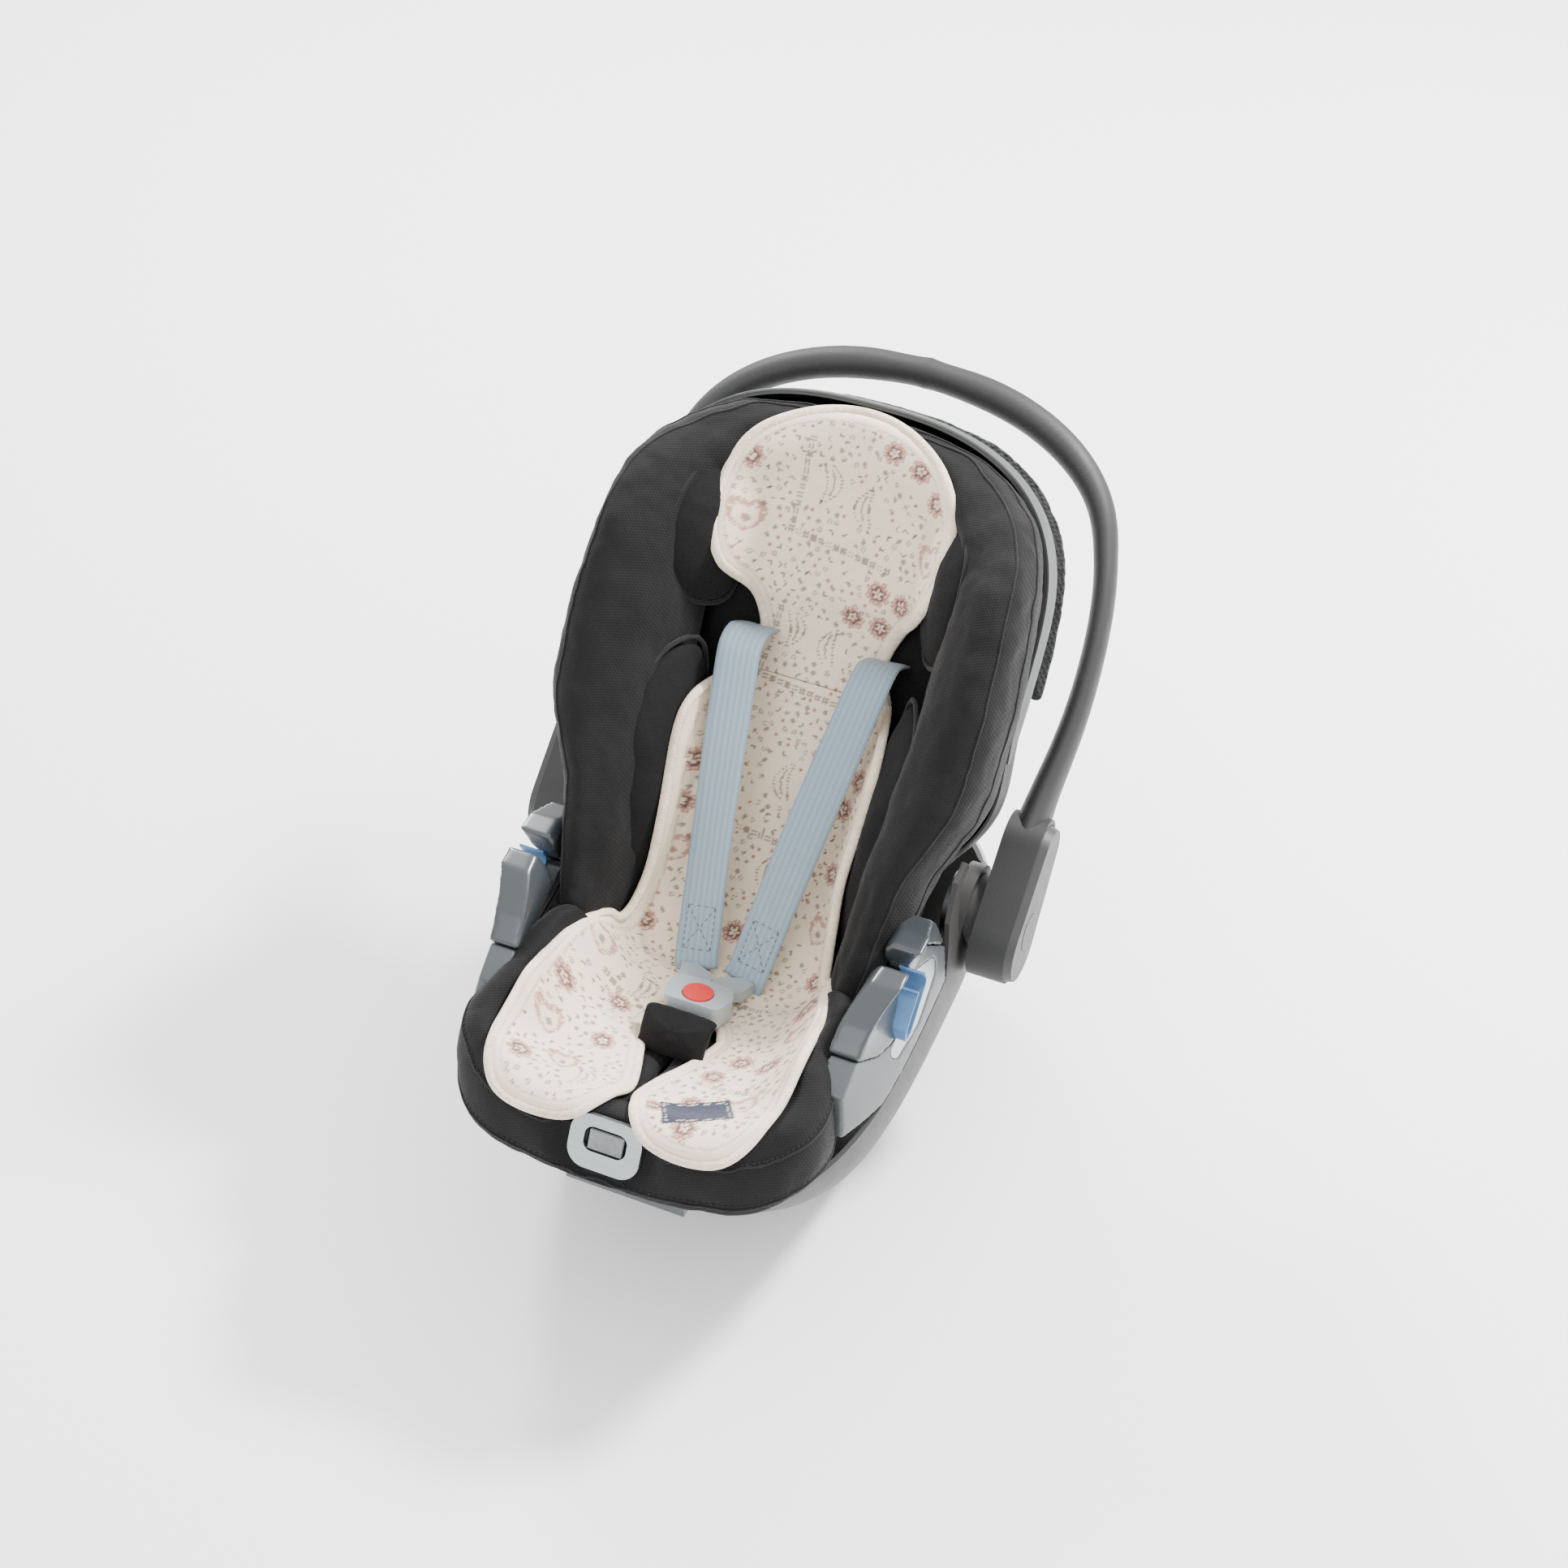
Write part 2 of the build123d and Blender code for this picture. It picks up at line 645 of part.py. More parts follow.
if __name__ == "__main__":
    save("base_shell", base_shell())
    save_pair("side_panel", side_panel())
    save_pair("guide_trim", guide_trim())
    save_pair("belt_hook", belt_hook())
    save_pair("guide_cap", guide_cap())
    save_pair("slot_liner", slot_liner())
    save("seat_pan", seat_pan())
    save("seat_pad", seat_pad())
    save("leg_cover", leg_cover())
    save("adjuster_plate", adjuster_plate())
    save("adjuster_strap", adjuster_strap())
    save("adjuster_housing", adjuster_housing())
    save("adjuster_cam", adjuster_cam())
    save("buckle_body", buckle_body())
    save("buckle_button", buckle_button())
    save_pair("tongue", tongue())
    save("crotch_strap", crotch_strap())
    save("crotch_pad", crotch_pad())
    save_pair("strap_end", strap_end())
    save_pair("shoulder_strap", shoulder_strap())
    save("backrest_shell", backrest_shell())
    save("shell_rim", shell_rim())
    save("back_pad", back_pad())
    save_pair("bolster", bolster())
    save("head_bolster", head_bolster())
    save_pair("body_cushion", body_cushion())
    save("liner_back", liner_back())
    save("liner_seat", liner_seat())
    save("canopy_pack", canopy_pack())
    save("headrest_plate", headrest_plate())
    save("head_pad", head_pad())
    save_pair("headrest_wing", headrest_wing())
    save("liner_head", liner_head())
    save("headrest_grip", headrest_grip())
    save("handle_front_shell", handle_shell(True))
    save("handle_rear_shell", handle_shell(False))
    save_pair("hub_cover", hub_cover())
    save_pair("handle_button", handle_button())
    save_pair("pivot_pin", pivot_pin())
    save_pair("pivot_disc", pivot_disc())
    save("rear_cover", rear_cover())
    save("latch_bar_front", latch_bar(-BAR_Y))
    save("latch_bar_rear", latch_bar(BAR_Y))
    save("release_lever", release_lever())
    save("recline_lever", recline_lever())
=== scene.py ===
import bpy
import bmesh
import json
import math
import random
import numpy as np
from mathutils import Matrix, Vector, noise
from mathutils.bvhtree import BVHTree

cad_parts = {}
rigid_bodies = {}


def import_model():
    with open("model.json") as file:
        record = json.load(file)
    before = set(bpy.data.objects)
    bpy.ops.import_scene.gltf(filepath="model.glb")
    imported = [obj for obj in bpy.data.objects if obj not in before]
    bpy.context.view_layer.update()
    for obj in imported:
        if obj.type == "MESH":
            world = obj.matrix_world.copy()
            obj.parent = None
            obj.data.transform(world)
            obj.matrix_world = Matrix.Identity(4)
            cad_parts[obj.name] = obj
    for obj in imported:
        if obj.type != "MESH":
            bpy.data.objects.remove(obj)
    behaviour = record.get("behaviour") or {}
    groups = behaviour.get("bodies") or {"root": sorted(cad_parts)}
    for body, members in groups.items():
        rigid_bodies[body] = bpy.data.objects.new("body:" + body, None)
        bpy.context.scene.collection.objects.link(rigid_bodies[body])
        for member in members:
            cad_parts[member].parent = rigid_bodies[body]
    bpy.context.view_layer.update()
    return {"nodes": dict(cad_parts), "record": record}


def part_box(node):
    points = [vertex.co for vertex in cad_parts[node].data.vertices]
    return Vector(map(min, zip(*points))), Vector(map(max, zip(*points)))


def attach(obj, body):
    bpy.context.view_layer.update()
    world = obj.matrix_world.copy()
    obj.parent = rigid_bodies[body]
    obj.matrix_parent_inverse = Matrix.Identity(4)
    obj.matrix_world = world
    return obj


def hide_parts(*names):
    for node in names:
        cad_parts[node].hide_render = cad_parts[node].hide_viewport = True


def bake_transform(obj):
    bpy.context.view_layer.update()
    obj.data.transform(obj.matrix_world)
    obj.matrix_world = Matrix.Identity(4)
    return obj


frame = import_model()
NODES = frame["nodes"]

# ---------------------------------------------------------------- geometry of the seat (metres)
HIP = (-0.058, 0.150)
BACK = math.radians(52.5)
ALONG = Vector((0, math.cos(BACK), math.sin(BACK)))
FRONT = Vector((0, -math.sin(BACK), math.cos(BACK)))


def bp(x, w, n):
    """Point in the backrest frame; millimetres across, up the back and in front of it."""
    return Vector((x / 1000, HIP[0], HIP[1])) + ALONG * (w / 1000) + FRONT * (n / 1000)


# ---------------------------------------------------------------- node helpers
class Nodes:
    def __init__(self, name):
        self.mat = bpy.data.materials.new(name)
        self.mat.use_nodes = True
        self.tree = self.mat.node_tree
        self.bsdf = self.tree.nodes["Principled BSDF"]

    def add(self, kind, **values):
        node = self.tree.nodes.new(kind)
        for key, value in values.items():
            if key[0].isupper():
                node.inputs[key.replace("_", " ")].default_value = value
            else:
                setattr(node, key, value)
        return node

    def link(self, a, b):
        self.tree.links.new(a, b)

    def math(self, operation, a, b=0.5):
        node = self.add("ShaderNodeMath", operation=operation)
        for i, value in enumerate((a, b)):
            if isinstance(value, (int, float)):
                node.inputs[i].default_value = value
            else:
                self.link(value, node.inputs[i])
        return node.outputs[0]

    def noise(self, scale, detail=3, coord=None):
        node = self.add("ShaderNodeTexNoise", Scale=scale, Detail=detail)
        self.link(coord or self.coord(), node.inputs["Vector"])
        return node.outputs["Fac"]

    def coord(self, kind="Object"):
        if not hasattr(self, "tc"):
            self.tc = self.add("ShaderNodeTexCoord")
        return self.tc.outputs[kind]

    def wave(self, scale, direction):
        """Sine stripes, 0 to 1, with scale waves per metre along a direction."""
        reach = self.add("ShaderNodeVectorMath", operation="DOT_PRODUCT")
        reach.inputs[1].default_value = direction
        self.link(self.coord(), reach.inputs[0])
        phase = self.math("MULTIPLY", reach.outputs["Value"], scale * 2 * math.pi)
        return self.math("MULTIPLY_ADD", self.math("SINE", phase), 0.5)

    def ramp(self, factor, low, high, c0, c1):
        node = self.add("ShaderNodeValToRGB")
        node.color_ramp.elements[0].position = low
        node.color_ramp.elements[1].position = high
        node.color_ramp.elements[0].color = (*c0, 1)
        node.color_ramp.elements[1].color = (*c1, 1)
        self.link(factor, node.inputs["Fac"])
        return node.outputs["Color"]

    def bump(self, height, distance, strength=1.0, after=None):
        node = self.add("ShaderNodeBump", Distance=distance, Strength=strength)
        self.link(height, node.inputs["Height"])
        if after is not None:
            self.link(after, node.inputs["Normal"])
        return node.outputs["Normal"]


def shade(colour, factor):
    return tuple(min(1.0, c * factor) for c in colour)


def plastic(name, colour, rough, grain=900.0, depth=0.00012, coat=0.0, vary=0.12):
    """Moulded plastic: fine grain, uneven gloss and a slow change of tone."""
    m = Nodes(name)
    broad = m.noise(9.0, 4)
    fine = m.noise(grain, 2)
    m.link(m.ramp(broad, 0.3, 0.7, shade(colour, 1 - vary), shade(colour, 1 + vary)), m.bsdf.inputs["Base Color"])
    scuff = m.add("ShaderNodeMapRange", To_Min=rough - 0.06, To_Max=rough + 0.10)
    m.link(m.noise(55.0, 5), scuff.inputs["Value"])
    m.link(scuff.outputs["Result"], m.bsdf.inputs["Roughness"])
    m.link(m.bump(fine, depth), m.bsdf.inputs["Normal"])
    m.bsdf.inputs["Coat Weight"].default_value = coat
    m.bsdf.inputs["Coat Roughness"].default_value = 0.25
    return m.mat


def metal(name, colour, rough):
    """Metal brushed across the seat."""
    m = Nodes(name)
    stretch = m.add("ShaderNodeMapping")
    stretch.inputs["Scale"].default_value = (40, 900, 900)
    m.link(m.coord(), stretch.inputs["Vector"])
    lines = m.noise(1.0, 3, stretch.outputs["Vector"])
    m.link(m.ramp(lines, 0.2, 0.8, shade(colour, 0.86), shade(colour, 1.08)), m.bsdf.inputs["Base Color"])
    level = m.add("ShaderNodeMapRange", To_Min=rough - 0.05, To_Max=rough + 0.12)
    m.link(lines, level.inputs["Value"])
    m.link(level.outputs["Result"], m.bsdf.inputs["Roughness"])
    m.link(m.bump(lines, 0.00005), m.bsdf.inputs["Normal"])
    m.bsdf.inputs["Metallic"].default_value = 1.0
    return m.mat


def cloth(name, colour, threads=900.0, depth=0.00035, sheen=0.4, rough=0.85, fold=0.0012):
    """Twill: diagonal ribs over a fine thread noise, with soft creases."""
    m = Nodes(name)
    rib = m.wave(threads / 2, (0.8, 0.45, 0.4))
    cross = m.wave(threads / 2, (-0.35, 0.7, 0.6))
    weave = m.math("MULTIPLY", rib, cross)
    lint = m.noise(260.0, 4)
    tone = m.math("ADD", m.math("MULTIPLY", m.noise(22.0, 5), 0.6), m.math("MULTIPLY", lint, 0.4))
    m.link(m.ramp(tone, 0.3, 0.75, shade(colour, 0.7), shade(colour, 1.4)), m.bsdf.inputs["Base Color"])
    m.bsdf.inputs["Specular IOR Level"].default_value = 0.22
    m.bsdf.inputs["Roughness"].default_value = rough
    m.bsdf.inputs["Sheen Weight"].default_value = sheen
    m.bsdf.inputs["Sheen Roughness"].default_value = 0.45
    creases = m.bump(m.noise(38.0, 3), fold)
    m.link(m.bump(weave, depth, after=creases), m.bsdf.inputs["Normal"])
    return m.mat


def webbing(name, colour):
    """Webbing: two lengthwise ribs and a herringbone, from the strap's own UV (u across, v along, metres)."""
    m = Nodes(name)
    uv = m.coord("UV")
    split = m.add("ShaderNodeSeparateXYZ")
    m.link(uv, split.inputs[0])
    u, v = split.outputs[0], split.outputs[1]
    fold = m.math("ABSOLUTE", u)
    slope = m.math("ADD", m.math("MULTIPLY", fold, 2200.0), m.math("MULTIPLY", v, 2600.0))
    thread = m.math("MULTIPLY_ADD", m.math("SINE", slope), 0.5)
    rib = m.math("MULTIPLY_ADD", m.math("COSINE", m.math("MULTIPLY", u, 1150.0)), 0.5)
    mix = m.math("ADD", m.math("MULTIPLY", thread, 0.55), m.math("MULTIPLY", rib, 0.45))
    m.link(m.ramp(mix, 0.1, 0.9, shade(colour, 0.78), shade(colour, 1.12)), m.bsdf.inputs["Base Color"])
    m.bsdf.inputs["Roughness"].default_value = 0.6
    m.bsdf.inputs["Sheen Weight"].default_value = 0.2
    m.link(m.bump(mix, 0.0005), m.bsdf.inputs["Normal"])
    return m.mat


MAT = {
    "shell_dark": plastic("shell_dark", (0.026, 0.025, 0.024), 0.52),
    "panel_grey": plastic("panel_grey", (0.046, 0.053, 0.057), 0.36, 700, 0.00006, coat=0.15),
    "hook_grey": plastic("hook_grey", (0.026, 0.031, 0.035), 0.28, 500, 0.00004, coat=0.3),
    "hub_grey": plastic("hub_grey", (0.024, 0.024, 0.025), 0.50),
    "hub_dark": plastic("hub_dark", (0.022, 0.022, 0.023), 0.60, 600, 0.0003),
    "handle_soft": plastic("handle_soft", (0.014, 0.014, 0.0145), 0.55, 1100, 0.00022),
    "rim_grey": plastic("rim_grey", (0.055, 0.062, 0.060), 0.42, 800, 0.00008),
    "rear_grey": plastic("rear_grey", (0.42, 0.42, 0.41), 0.45, 700, 0.00008),
    "satin_silver": metal("satin_silver", (0.40, 0.43, 0.45), 0.34),
    "belt_blue": plastic("belt_blue", (0.07, 0.17, 0.33), 0.42),
    "buckle_grey": plastic("buckle_grey", (0.33, 0.37, 0.39), 0.38, 700, 0.00006, coat=0.2),
    "button_red": plastic("button_red", (0.62, 0.022, 0.018), 0.30, 500, 0.00004, coat=0.4),
    "spring_steel": metal("spring_steel", (0.45, 0.45, 0.46), 0.30),
    "cover_fabric": cloth("cover_fabric", (0.0050, 0.0050, 0.0054), 900, 0.0003, 0.04),
    "cushion_fabric": cloth("cushion_fabric", (0.0040, 0.0040, 0.0044), 1200, 0.00025, 0.02, 0.9, 0.0018),
    "canopy_fabric": cloth("canopy_fabric", (0.020, 0.021, 0.022), 500, 0.0006),
    "piping": cloth("piping", (0.008, 0.008, 0.009), 1500, 0.0002, 0.1),
    "webbing": webbing("webbing", (0.23, 0.32, 0.39)),
    "adjuster_webbing": cloth("adjuster_webbing", (0.20, 0.21, 0.22)),
    "stitch": cloth("stitch", (0.10, 0.11, 0.12), 2000, 0.0001),
}


def set_material(obj, material):
    obj.data.materials.clear()
    obj.data.materials.append(material)


for subpart in frame["record"]["subparts"]:
    if subpart["material_slot"] in MAT:
        set_material(NODES[subpart["node"]], MAT[subpart["material_slot"]])


# ---------------------------------------------------------------- mesh helpers
def mesh_object(name, points, faces, material=None):
    mesh = bpy.data.meshes.new(name)
    mesh.from_pydata([tuple(p) for p in points], [], faces)
    mesh.update()
    mesh.shade_smooth()
    obj = bpy.data.objects.new(name, mesh)
    bpy.context.scene.collection.objects.link(obj)
    if material:
        mesh.materials.append(material)
    return obj


def apply_modifiers(obj):
    graph = bpy.context.evaluated_depsgraph_get()
    mesh = bpy.data.meshes.new_from_object(obj.evaluated_get(graph))
    obj.modifiers.clear()
    old = obj.data
    obj.data = mesh
    bpy.data.meshes.remove(old)
    obj.data.shade_smooth()
    return obj


def coords(mesh):
    co = np.zeros(len(mesh.vertices) * 3, np.float32)
    mesh.vertices.foreach_get("co", co)
    return co.reshape(-1, 3)


def surface(*objs):
    """BVH of the meshes, for laying seams on them."""
    points, faces = [], []
    for obj in objs:
        base = len(points)
        points += [v.co.copy() for v in obj.data.vertices]
        faces += [[base + i for i in p.vertices] for p in obj.data.polygons]
    return BVHTree.FromPolygons(points, faces)


def subdivide(obj, levels):
    sub = obj.modifiers.new("sub", "SUBSURF")
    sub.levels = sub.render_levels = levels
    apply_modifiers(obj)


def face_outward(obj):
    bm = bmesh.new()
    bm.from_mesh(obj.data)
    bmesh.ops.recalc_face_normals(bm, faces=bm.faces)
    bm.to_mesh(obj.data)
    bm.free()


def push(obj, amount):
    """Moves each vertex along its normal by an amount in metres."""
    co = coords(obj.data)
    normals = np.zeros(co.size, np.float32)
    obj.data.vertices.foreach_get("normal", normals)
    moved = co + normals.reshape(-1, 3) * amount[:, None]
    obj.data.vertices.foreach_set("co", moved.astype(np.float32).ravel())
    obj.data.update()


def remeshed(name, source, voxel, passes, factor):
    """New object from a CAD node's shape, voxel remeshed (mm) and smoothed."""
    obj = bpy.data.objects.new(name, NODES[source].data.copy())
    bpy.context.scene.collection.objects.link(obj)
    remesh = obj.modifiers.new("remesh", "REMESH")
    remesh.mode = "VOXEL"
    remesh.voxel_size = voxel / 1000
    relax = obj.modifiers.new("relax", "SMOOTH")
    relax.iterations = passes
    relax.factor = factor
    return apply_modifiers(obj)


def smooth_path(points, count, closed=False):
    """Catmull-Rom through the points, resampled to even steps."""
    pts = [Vector(p) for p in points]
    n = len(pts)
    fine = []
    for i in range(n if closed else n - 1):
        p0 = pts[(i - 1) % n] if closed or i > 0 else pts[0] * 2 - pts[1]
        p1, p2 = pts[i], pts[(i + 1) % n]
        p3 = pts[(i + 2) % n] if closed or i + 2 < n else pts[-1] * 2 - pts[-2]
        for k in range(16):
            t = k / 16
            fine.append(0.5 * ((2 * p1) + (p2 - p0) * t + (2 * p0 - 5 * p1 + 4 * p2 - p3) * t * t
                               + (3 * p1 - p0 - 3 * p2 + p3) * t ** 3))
    fine.append(pts[0] if closed else pts[-1])
    lengths = [0.0]
    for a, b in zip(fine, fine[1:]):
        lengths.append(lengths[-1] + (b - a).length)
    out = []
    steps = count if closed else count - 1
    k = 0
    for i in range(count):
        want = lengths[-1] * i / steps
        while k < len(fine) - 2 and lengths[k + 1] < want:
            k += 1
        span = max(lengths[k + 1] - lengths[k], 1e-12)
        out.append(fine[k].lerp(fine[k + 1], (want - lengths[k]) / span))
    return out


def tube(name, path, radius, material, closed=False, sides=8, flat=1.0, normals=None):
    """Round or flattened tube along a path; normals give the flattened direction."""
    points, faces = [], []
    n = len(path)
    last = Vector((0, 0, 1))
    for i, p in enumerate(path):
        a = path[(i - 1) % n] if closed or i else p
        b = path[(i + 1) % n] if closed or i < n - 1 else p
        along = (b - a).normalized()
        up = normals[i] if normals else last
        up = (up - along * up.dot(along)).normalized()
        last = up
        side = along.cross(up)
        size = radius(i / (n - 1)) if callable(radius) else radius
        for k in range(sides):
            turn = 2 * math.pi * k / sides
            points.append(p + side * math.cos(turn) * size + up * math.sin(turn) * size * flat)
    for i in range(n if closed else n - 1):
        j = (i + 1) % n
        for k in range(sides):
            q = (k + 1) % sides
            faces.append((i * sides + k, i * sides + q, j * sides + q, j * sides + k))
    if not closed:
        faces.append(tuple(range(sides - 1, -1, -1)))
        faces.append(tuple((n - 1) * sides + k for k in range(sides)))
    return mesh_object(name, points, faces, material)


def laid(bvh, path, lift, reach=0.06):
    """The path moved to the nearest point of a surface, lifted by a little; also the normals."""
    points, normals = [], []
    for p in path:
        hit, normal, _, _ = bvh.find_nearest(p, reach)
        if hit is None:
            hit, normal = p, Vector((0, 0, 1))
        points.append(hit + normal * lift)
        normals.append(normal)
    return points, normals


def piping(name, bvh, points, radius, body, count, lift):
    """A corded seam laid on a surface."""
    path, normals = laid(bvh, smooth_path(points, count), lift)
    obj = tube(name, smooth_path(path, count), radius, MAT["piping"], normals=normals)
    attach(obj, body)
    return obj


def stitches(name, bvh, points, body, radius=0.00045, material="stitch"):
    """A row of separate stitches laid on a surface."""
    length, gap, lift = 0.0032, 0.0022, 0.0004
    total = sum((Vector(b) - Vector(a)).length for a, b in zip(points, points[1:]))
    count = max(8, int(total / (length + gap)) * 3)
    path, normals = laid(bvh, smooth_path(points, count), lift)
    verts, faces = [], []
    for i in range(0, len(path) - 2, 3):
        a, b, up = path[i], path[i + 2], normals[i]
        along = b - a
        a, b = a + along * 0.08, b - along * 0.08
        side = along.cross(up).normalized() * radius
        top = up * radius * 1.1
        base = len(verts)
        verts += [a - side, a + side, b + side, b - side, a.lerp(b, 0.25) + top, a.lerp(b, 0.75) + top]
        faces += [(base, base + 1, base + 4), (base + 1, base + 2, base + 5, base + 4),
                  (base + 2, base + 3, base + 5), (base + 3, base, base + 4, base + 5),
                  (base + 3, base + 2, base + 1, base)]
    obj = mesh_object(name, verts, faces, MAT[material])
    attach(obj, body)
    return obj


# ---------------------------------------------------------------- the bucket's lining surface
# centre line of the seat and back, (y, z) in mm, from the foot end to the head
PROFILE = [(-353, 208), (-345, 230), (-328, 246), (-304, 246), (-268, 231), (-230, 215), (-180, 199), (-140, 188),
           (-113, 183), (-92, 184), (-72, 193), (-50, 209), (-20, 237), (18, 274), (56, 316),
           (91, 351), (124, 381), (135, 402), (152, 432), (176, 466),
           (206, 500), (232, 530), (252, 556)]
LINE = smooth_path([(0, y / 1000, z / 1000) for y, z in PROFILE], 361)
LINE_AT = [0.0]
for p, q in zip(LINE, LINE[1:]):
    LINE_AT.append(LINE_AT[-1] + (q - p).length)
LINE_AT = np.array(LINE_AT)
LINE_XYZ = np.array([tuple(p) for p in LINE])
_slope = np.gradient(LINE_XYZ, axis=0)
_slope /= np.linalg.norm(_slope, axis=1, keepdims=True)
LINE_UP = np.stack([0 * _slope[:, 1], -_slope[:, 2], _slope[:, 1]], axis=1)


def on_line(u, v, h):
    """Points of the lining: u across, v along the centre line, h above it (arrays, metres)."""
    p = np.stack([np.interp(v, LINE_AT, LINE_XYZ[:, k]) for k in range(3)], axis=-1)
    up = np.stack([np.interp(v, LINE_AT, LINE_UP[:, k]) for k in range(3)], axis=-1)
    up /= np.linalg.norm(up, axis=-1, keepdims=True)
    p = p + up * np.asarray(h)[..., None]
    p[..., 0] += u
    return p, up


def camera_and_light():
    scene = bpy.context.scene
    cam = bpy.data.objects.new("camera", bpy.data.cameras.new("camera"))
    scene.collection.objects.link(cam)
    scene.camera = cam
    right = Vector((0.921, 0.390, 0))
    ahead = Vector((-0.2710, 0.6396, -0.7193)).normalized()
    right = (right - ahead * right.dot(ahead)).normalized()
    up = right.cross(ahead)
    cam.matrix_world = Matrix.Translation((0.6976, -1.6070, 2.1466)) @ Matrix(
        [[right[i], up[i], -ahead[i]] for i in range(3)]).to_4x4()
    cam.data.lens = 67.08
    cam.data.sensor_width = 36
    cam.data.clip_end = 50
    floor = mesh_object("floor", [(-6, -6, 0), (6, -6, 0), (6, 6, 0), (-6, 6, 0)], [(0, 1, 2, 3)])
    m = Nodes("floor")
    m.link(m.ramp(m.noise(0.8, 2), 0.3, 0.7, (0.93, 0.93, 0.93), (0.95, 0.95, 0.95)), m.bsdf.inputs["Base Color"])
    m.bsdf.inputs["Roughness"].default_value = 0.7
    floor.data.materials.append(m.mat)
    world = bpy.data.worlds.new("studio")
    scene.world = world
    world.use_nodes = True
    world.node_tree.nodes["Background"].inputs["Color"].default_value = (1, 1, 1, 1)
    world.node_tree.nodes["Background"].inputs["Strength"].default_value = 1.95
    for name, place, size, power in (
            ("key", (1.3, 1.5, 2.4), 0.5, 230),
            ("second", (-1.7, 1.7, 2.2), 0.55, 100),
            ("front", (-0.4, -2.6, 2.2), 1.6, 26)):
        light = bpy.data.lights.new(name, "AREA")
        light.shape = "SQUARE"
        light.size = size
        light.energy = power
        lamp = bpy.data.objects.new(name, light)
        scene.collection.objects.link(lamp)
        lamp.location = place
        lamp.rotation_euler = (Vector((0, 0, 0.3)) - Vector(place)).to_track_quat("-Z", "Y").to_euler()


camera_and_light()

# ---------------------------------------------------------------- crowned black padding
def closed_loft(name, rings, material, levels=1):
    """Skin through closed rings of equal length, ends closed by a small fan."""
    points, faces = [], []
    n = len(rings[0])
    for ring in rings:
        points += [Vector(p) for p in ring]
    for i in range(len(rings) - 1):
        for k in range(n):
            q = (k + 1) % n
            faces.append((i * n + k, i * n + q, (i + 1) * n + q, (i + 1) * n + k))
    for i, order in ((0, -1), (len(rings) - 1, 1)):
        base = len(points)
        points.append(sum((Vector(p) for p in rings[i]), Vector()) / n)
        for k in range(n):
            q = (k + 1) % n
            tri = (i * n + k, i * n + q, base)
            faces.append(tri if order > 0 else tri[::-1])
    obj = mesh_object(name, points, faces, MAT[material])
    face_outward(obj)
    subdivide(obj, levels)
    set_material(obj, MAT[material])
    return obj


def inflate(obj, pressure, cap, settle=2, stiffness=(30, 12, 0.3)):
    """Fills a sewn form as cloth under pressure, with its movement capped (mm)."""
    rest = coords(obj.data)
    sim = obj.modifiers.new("cloth", "CLOTH")
    sim.settings.use_pressure = True
    sim.settings.uniform_pressure_force = pressure
    sim.settings.effector_weights.gravity = 0
    sim.settings.tension_stiffness, sim.settings.compression_stiffness, sim.settings.bending_stiffness = stiffness
    sim.point_cache.frame_start = 1
    sim.point_cache.frame_end = 20
    for step in range(1, 21):
        bpy.context.scene.frame_set(step)
    apply_modifiers(obj)
    bpy.context.scene.frame_set(1)
    moved = coords(obj.data) - rest
    length = np.linalg.norm(moved, axis=1, keepdims=True) + 1e-9
    moved *= np.minimum(1.0, cap / 1000 / length)
    obj.data.vertices.foreach_set("co", (rest + moved).astype(np.float32).ravel())
    relax = obj.modifiers.new("relax", "SMOOTH")
    relax.iterations = settle
    apply_modifiers(obj)


def pucker(obj, size, depth, seed):
    """Small wrinkles along the normals, size and depth in mm."""
    shift = Vector((seed * 7.3, seed * 3.1, 0))
    amount = np.array([noise.fractal(Vector(p) * (1000.0 / size) + shift, 0.8, 2.0, 3) for p in coords(obj.data)])
    push(obj, amount * (depth / 1000))


def curve_value(table, x):
    """Values between the rows of a small table of (position, value, ...)."""
    xs = [row[0] for row in table]
    return [float(np.interp(x, xs, [row[k] for row in table])) for k in range(1, len(table[0]))]


# side ring of the bucket: height up the back, outer x at the rim, ridge height, inner x at its foot, outer bulge
RING = [(-6, 122, 112, 104, 0), (20, 132, 127, 100, 6), (60, 139, 135, 98, 8), (105, 146, 139, 99, 9),
        (150, 154, 142, 101, 10), (185, 172, 143, 103, 11), (215, 183, 144, 105, 11), (260, 185, 144, 108, 12),
        (320, 185, 142, 110, 12), (370, 183, 136, 112, 10)]


def ring_station(kind, a):
    """(outer point, inner point, ridge height, bulge) at one station of the U-shaped ring."""
    if kind == "side":
        outer, ridge, inner, bulge = curve_value(RING, a)
        return (outer, a), (inner, a + 4), ridge, bulge
    c, s = math.cos(a), math.sin(a)
    power = 2 / 2.6
    out = (184 * abs(c) ** power, 370 + 141 * abs(s) ** power)
    inn = (112 * abs(c) ** 0.9, 374 + 70 * abs(s) ** 0.9)
    fade = math.sin(a) ** 1.35
    return out, inn, 136 * (1 - fade) + 27 * fade, 10 * (1 - fade)


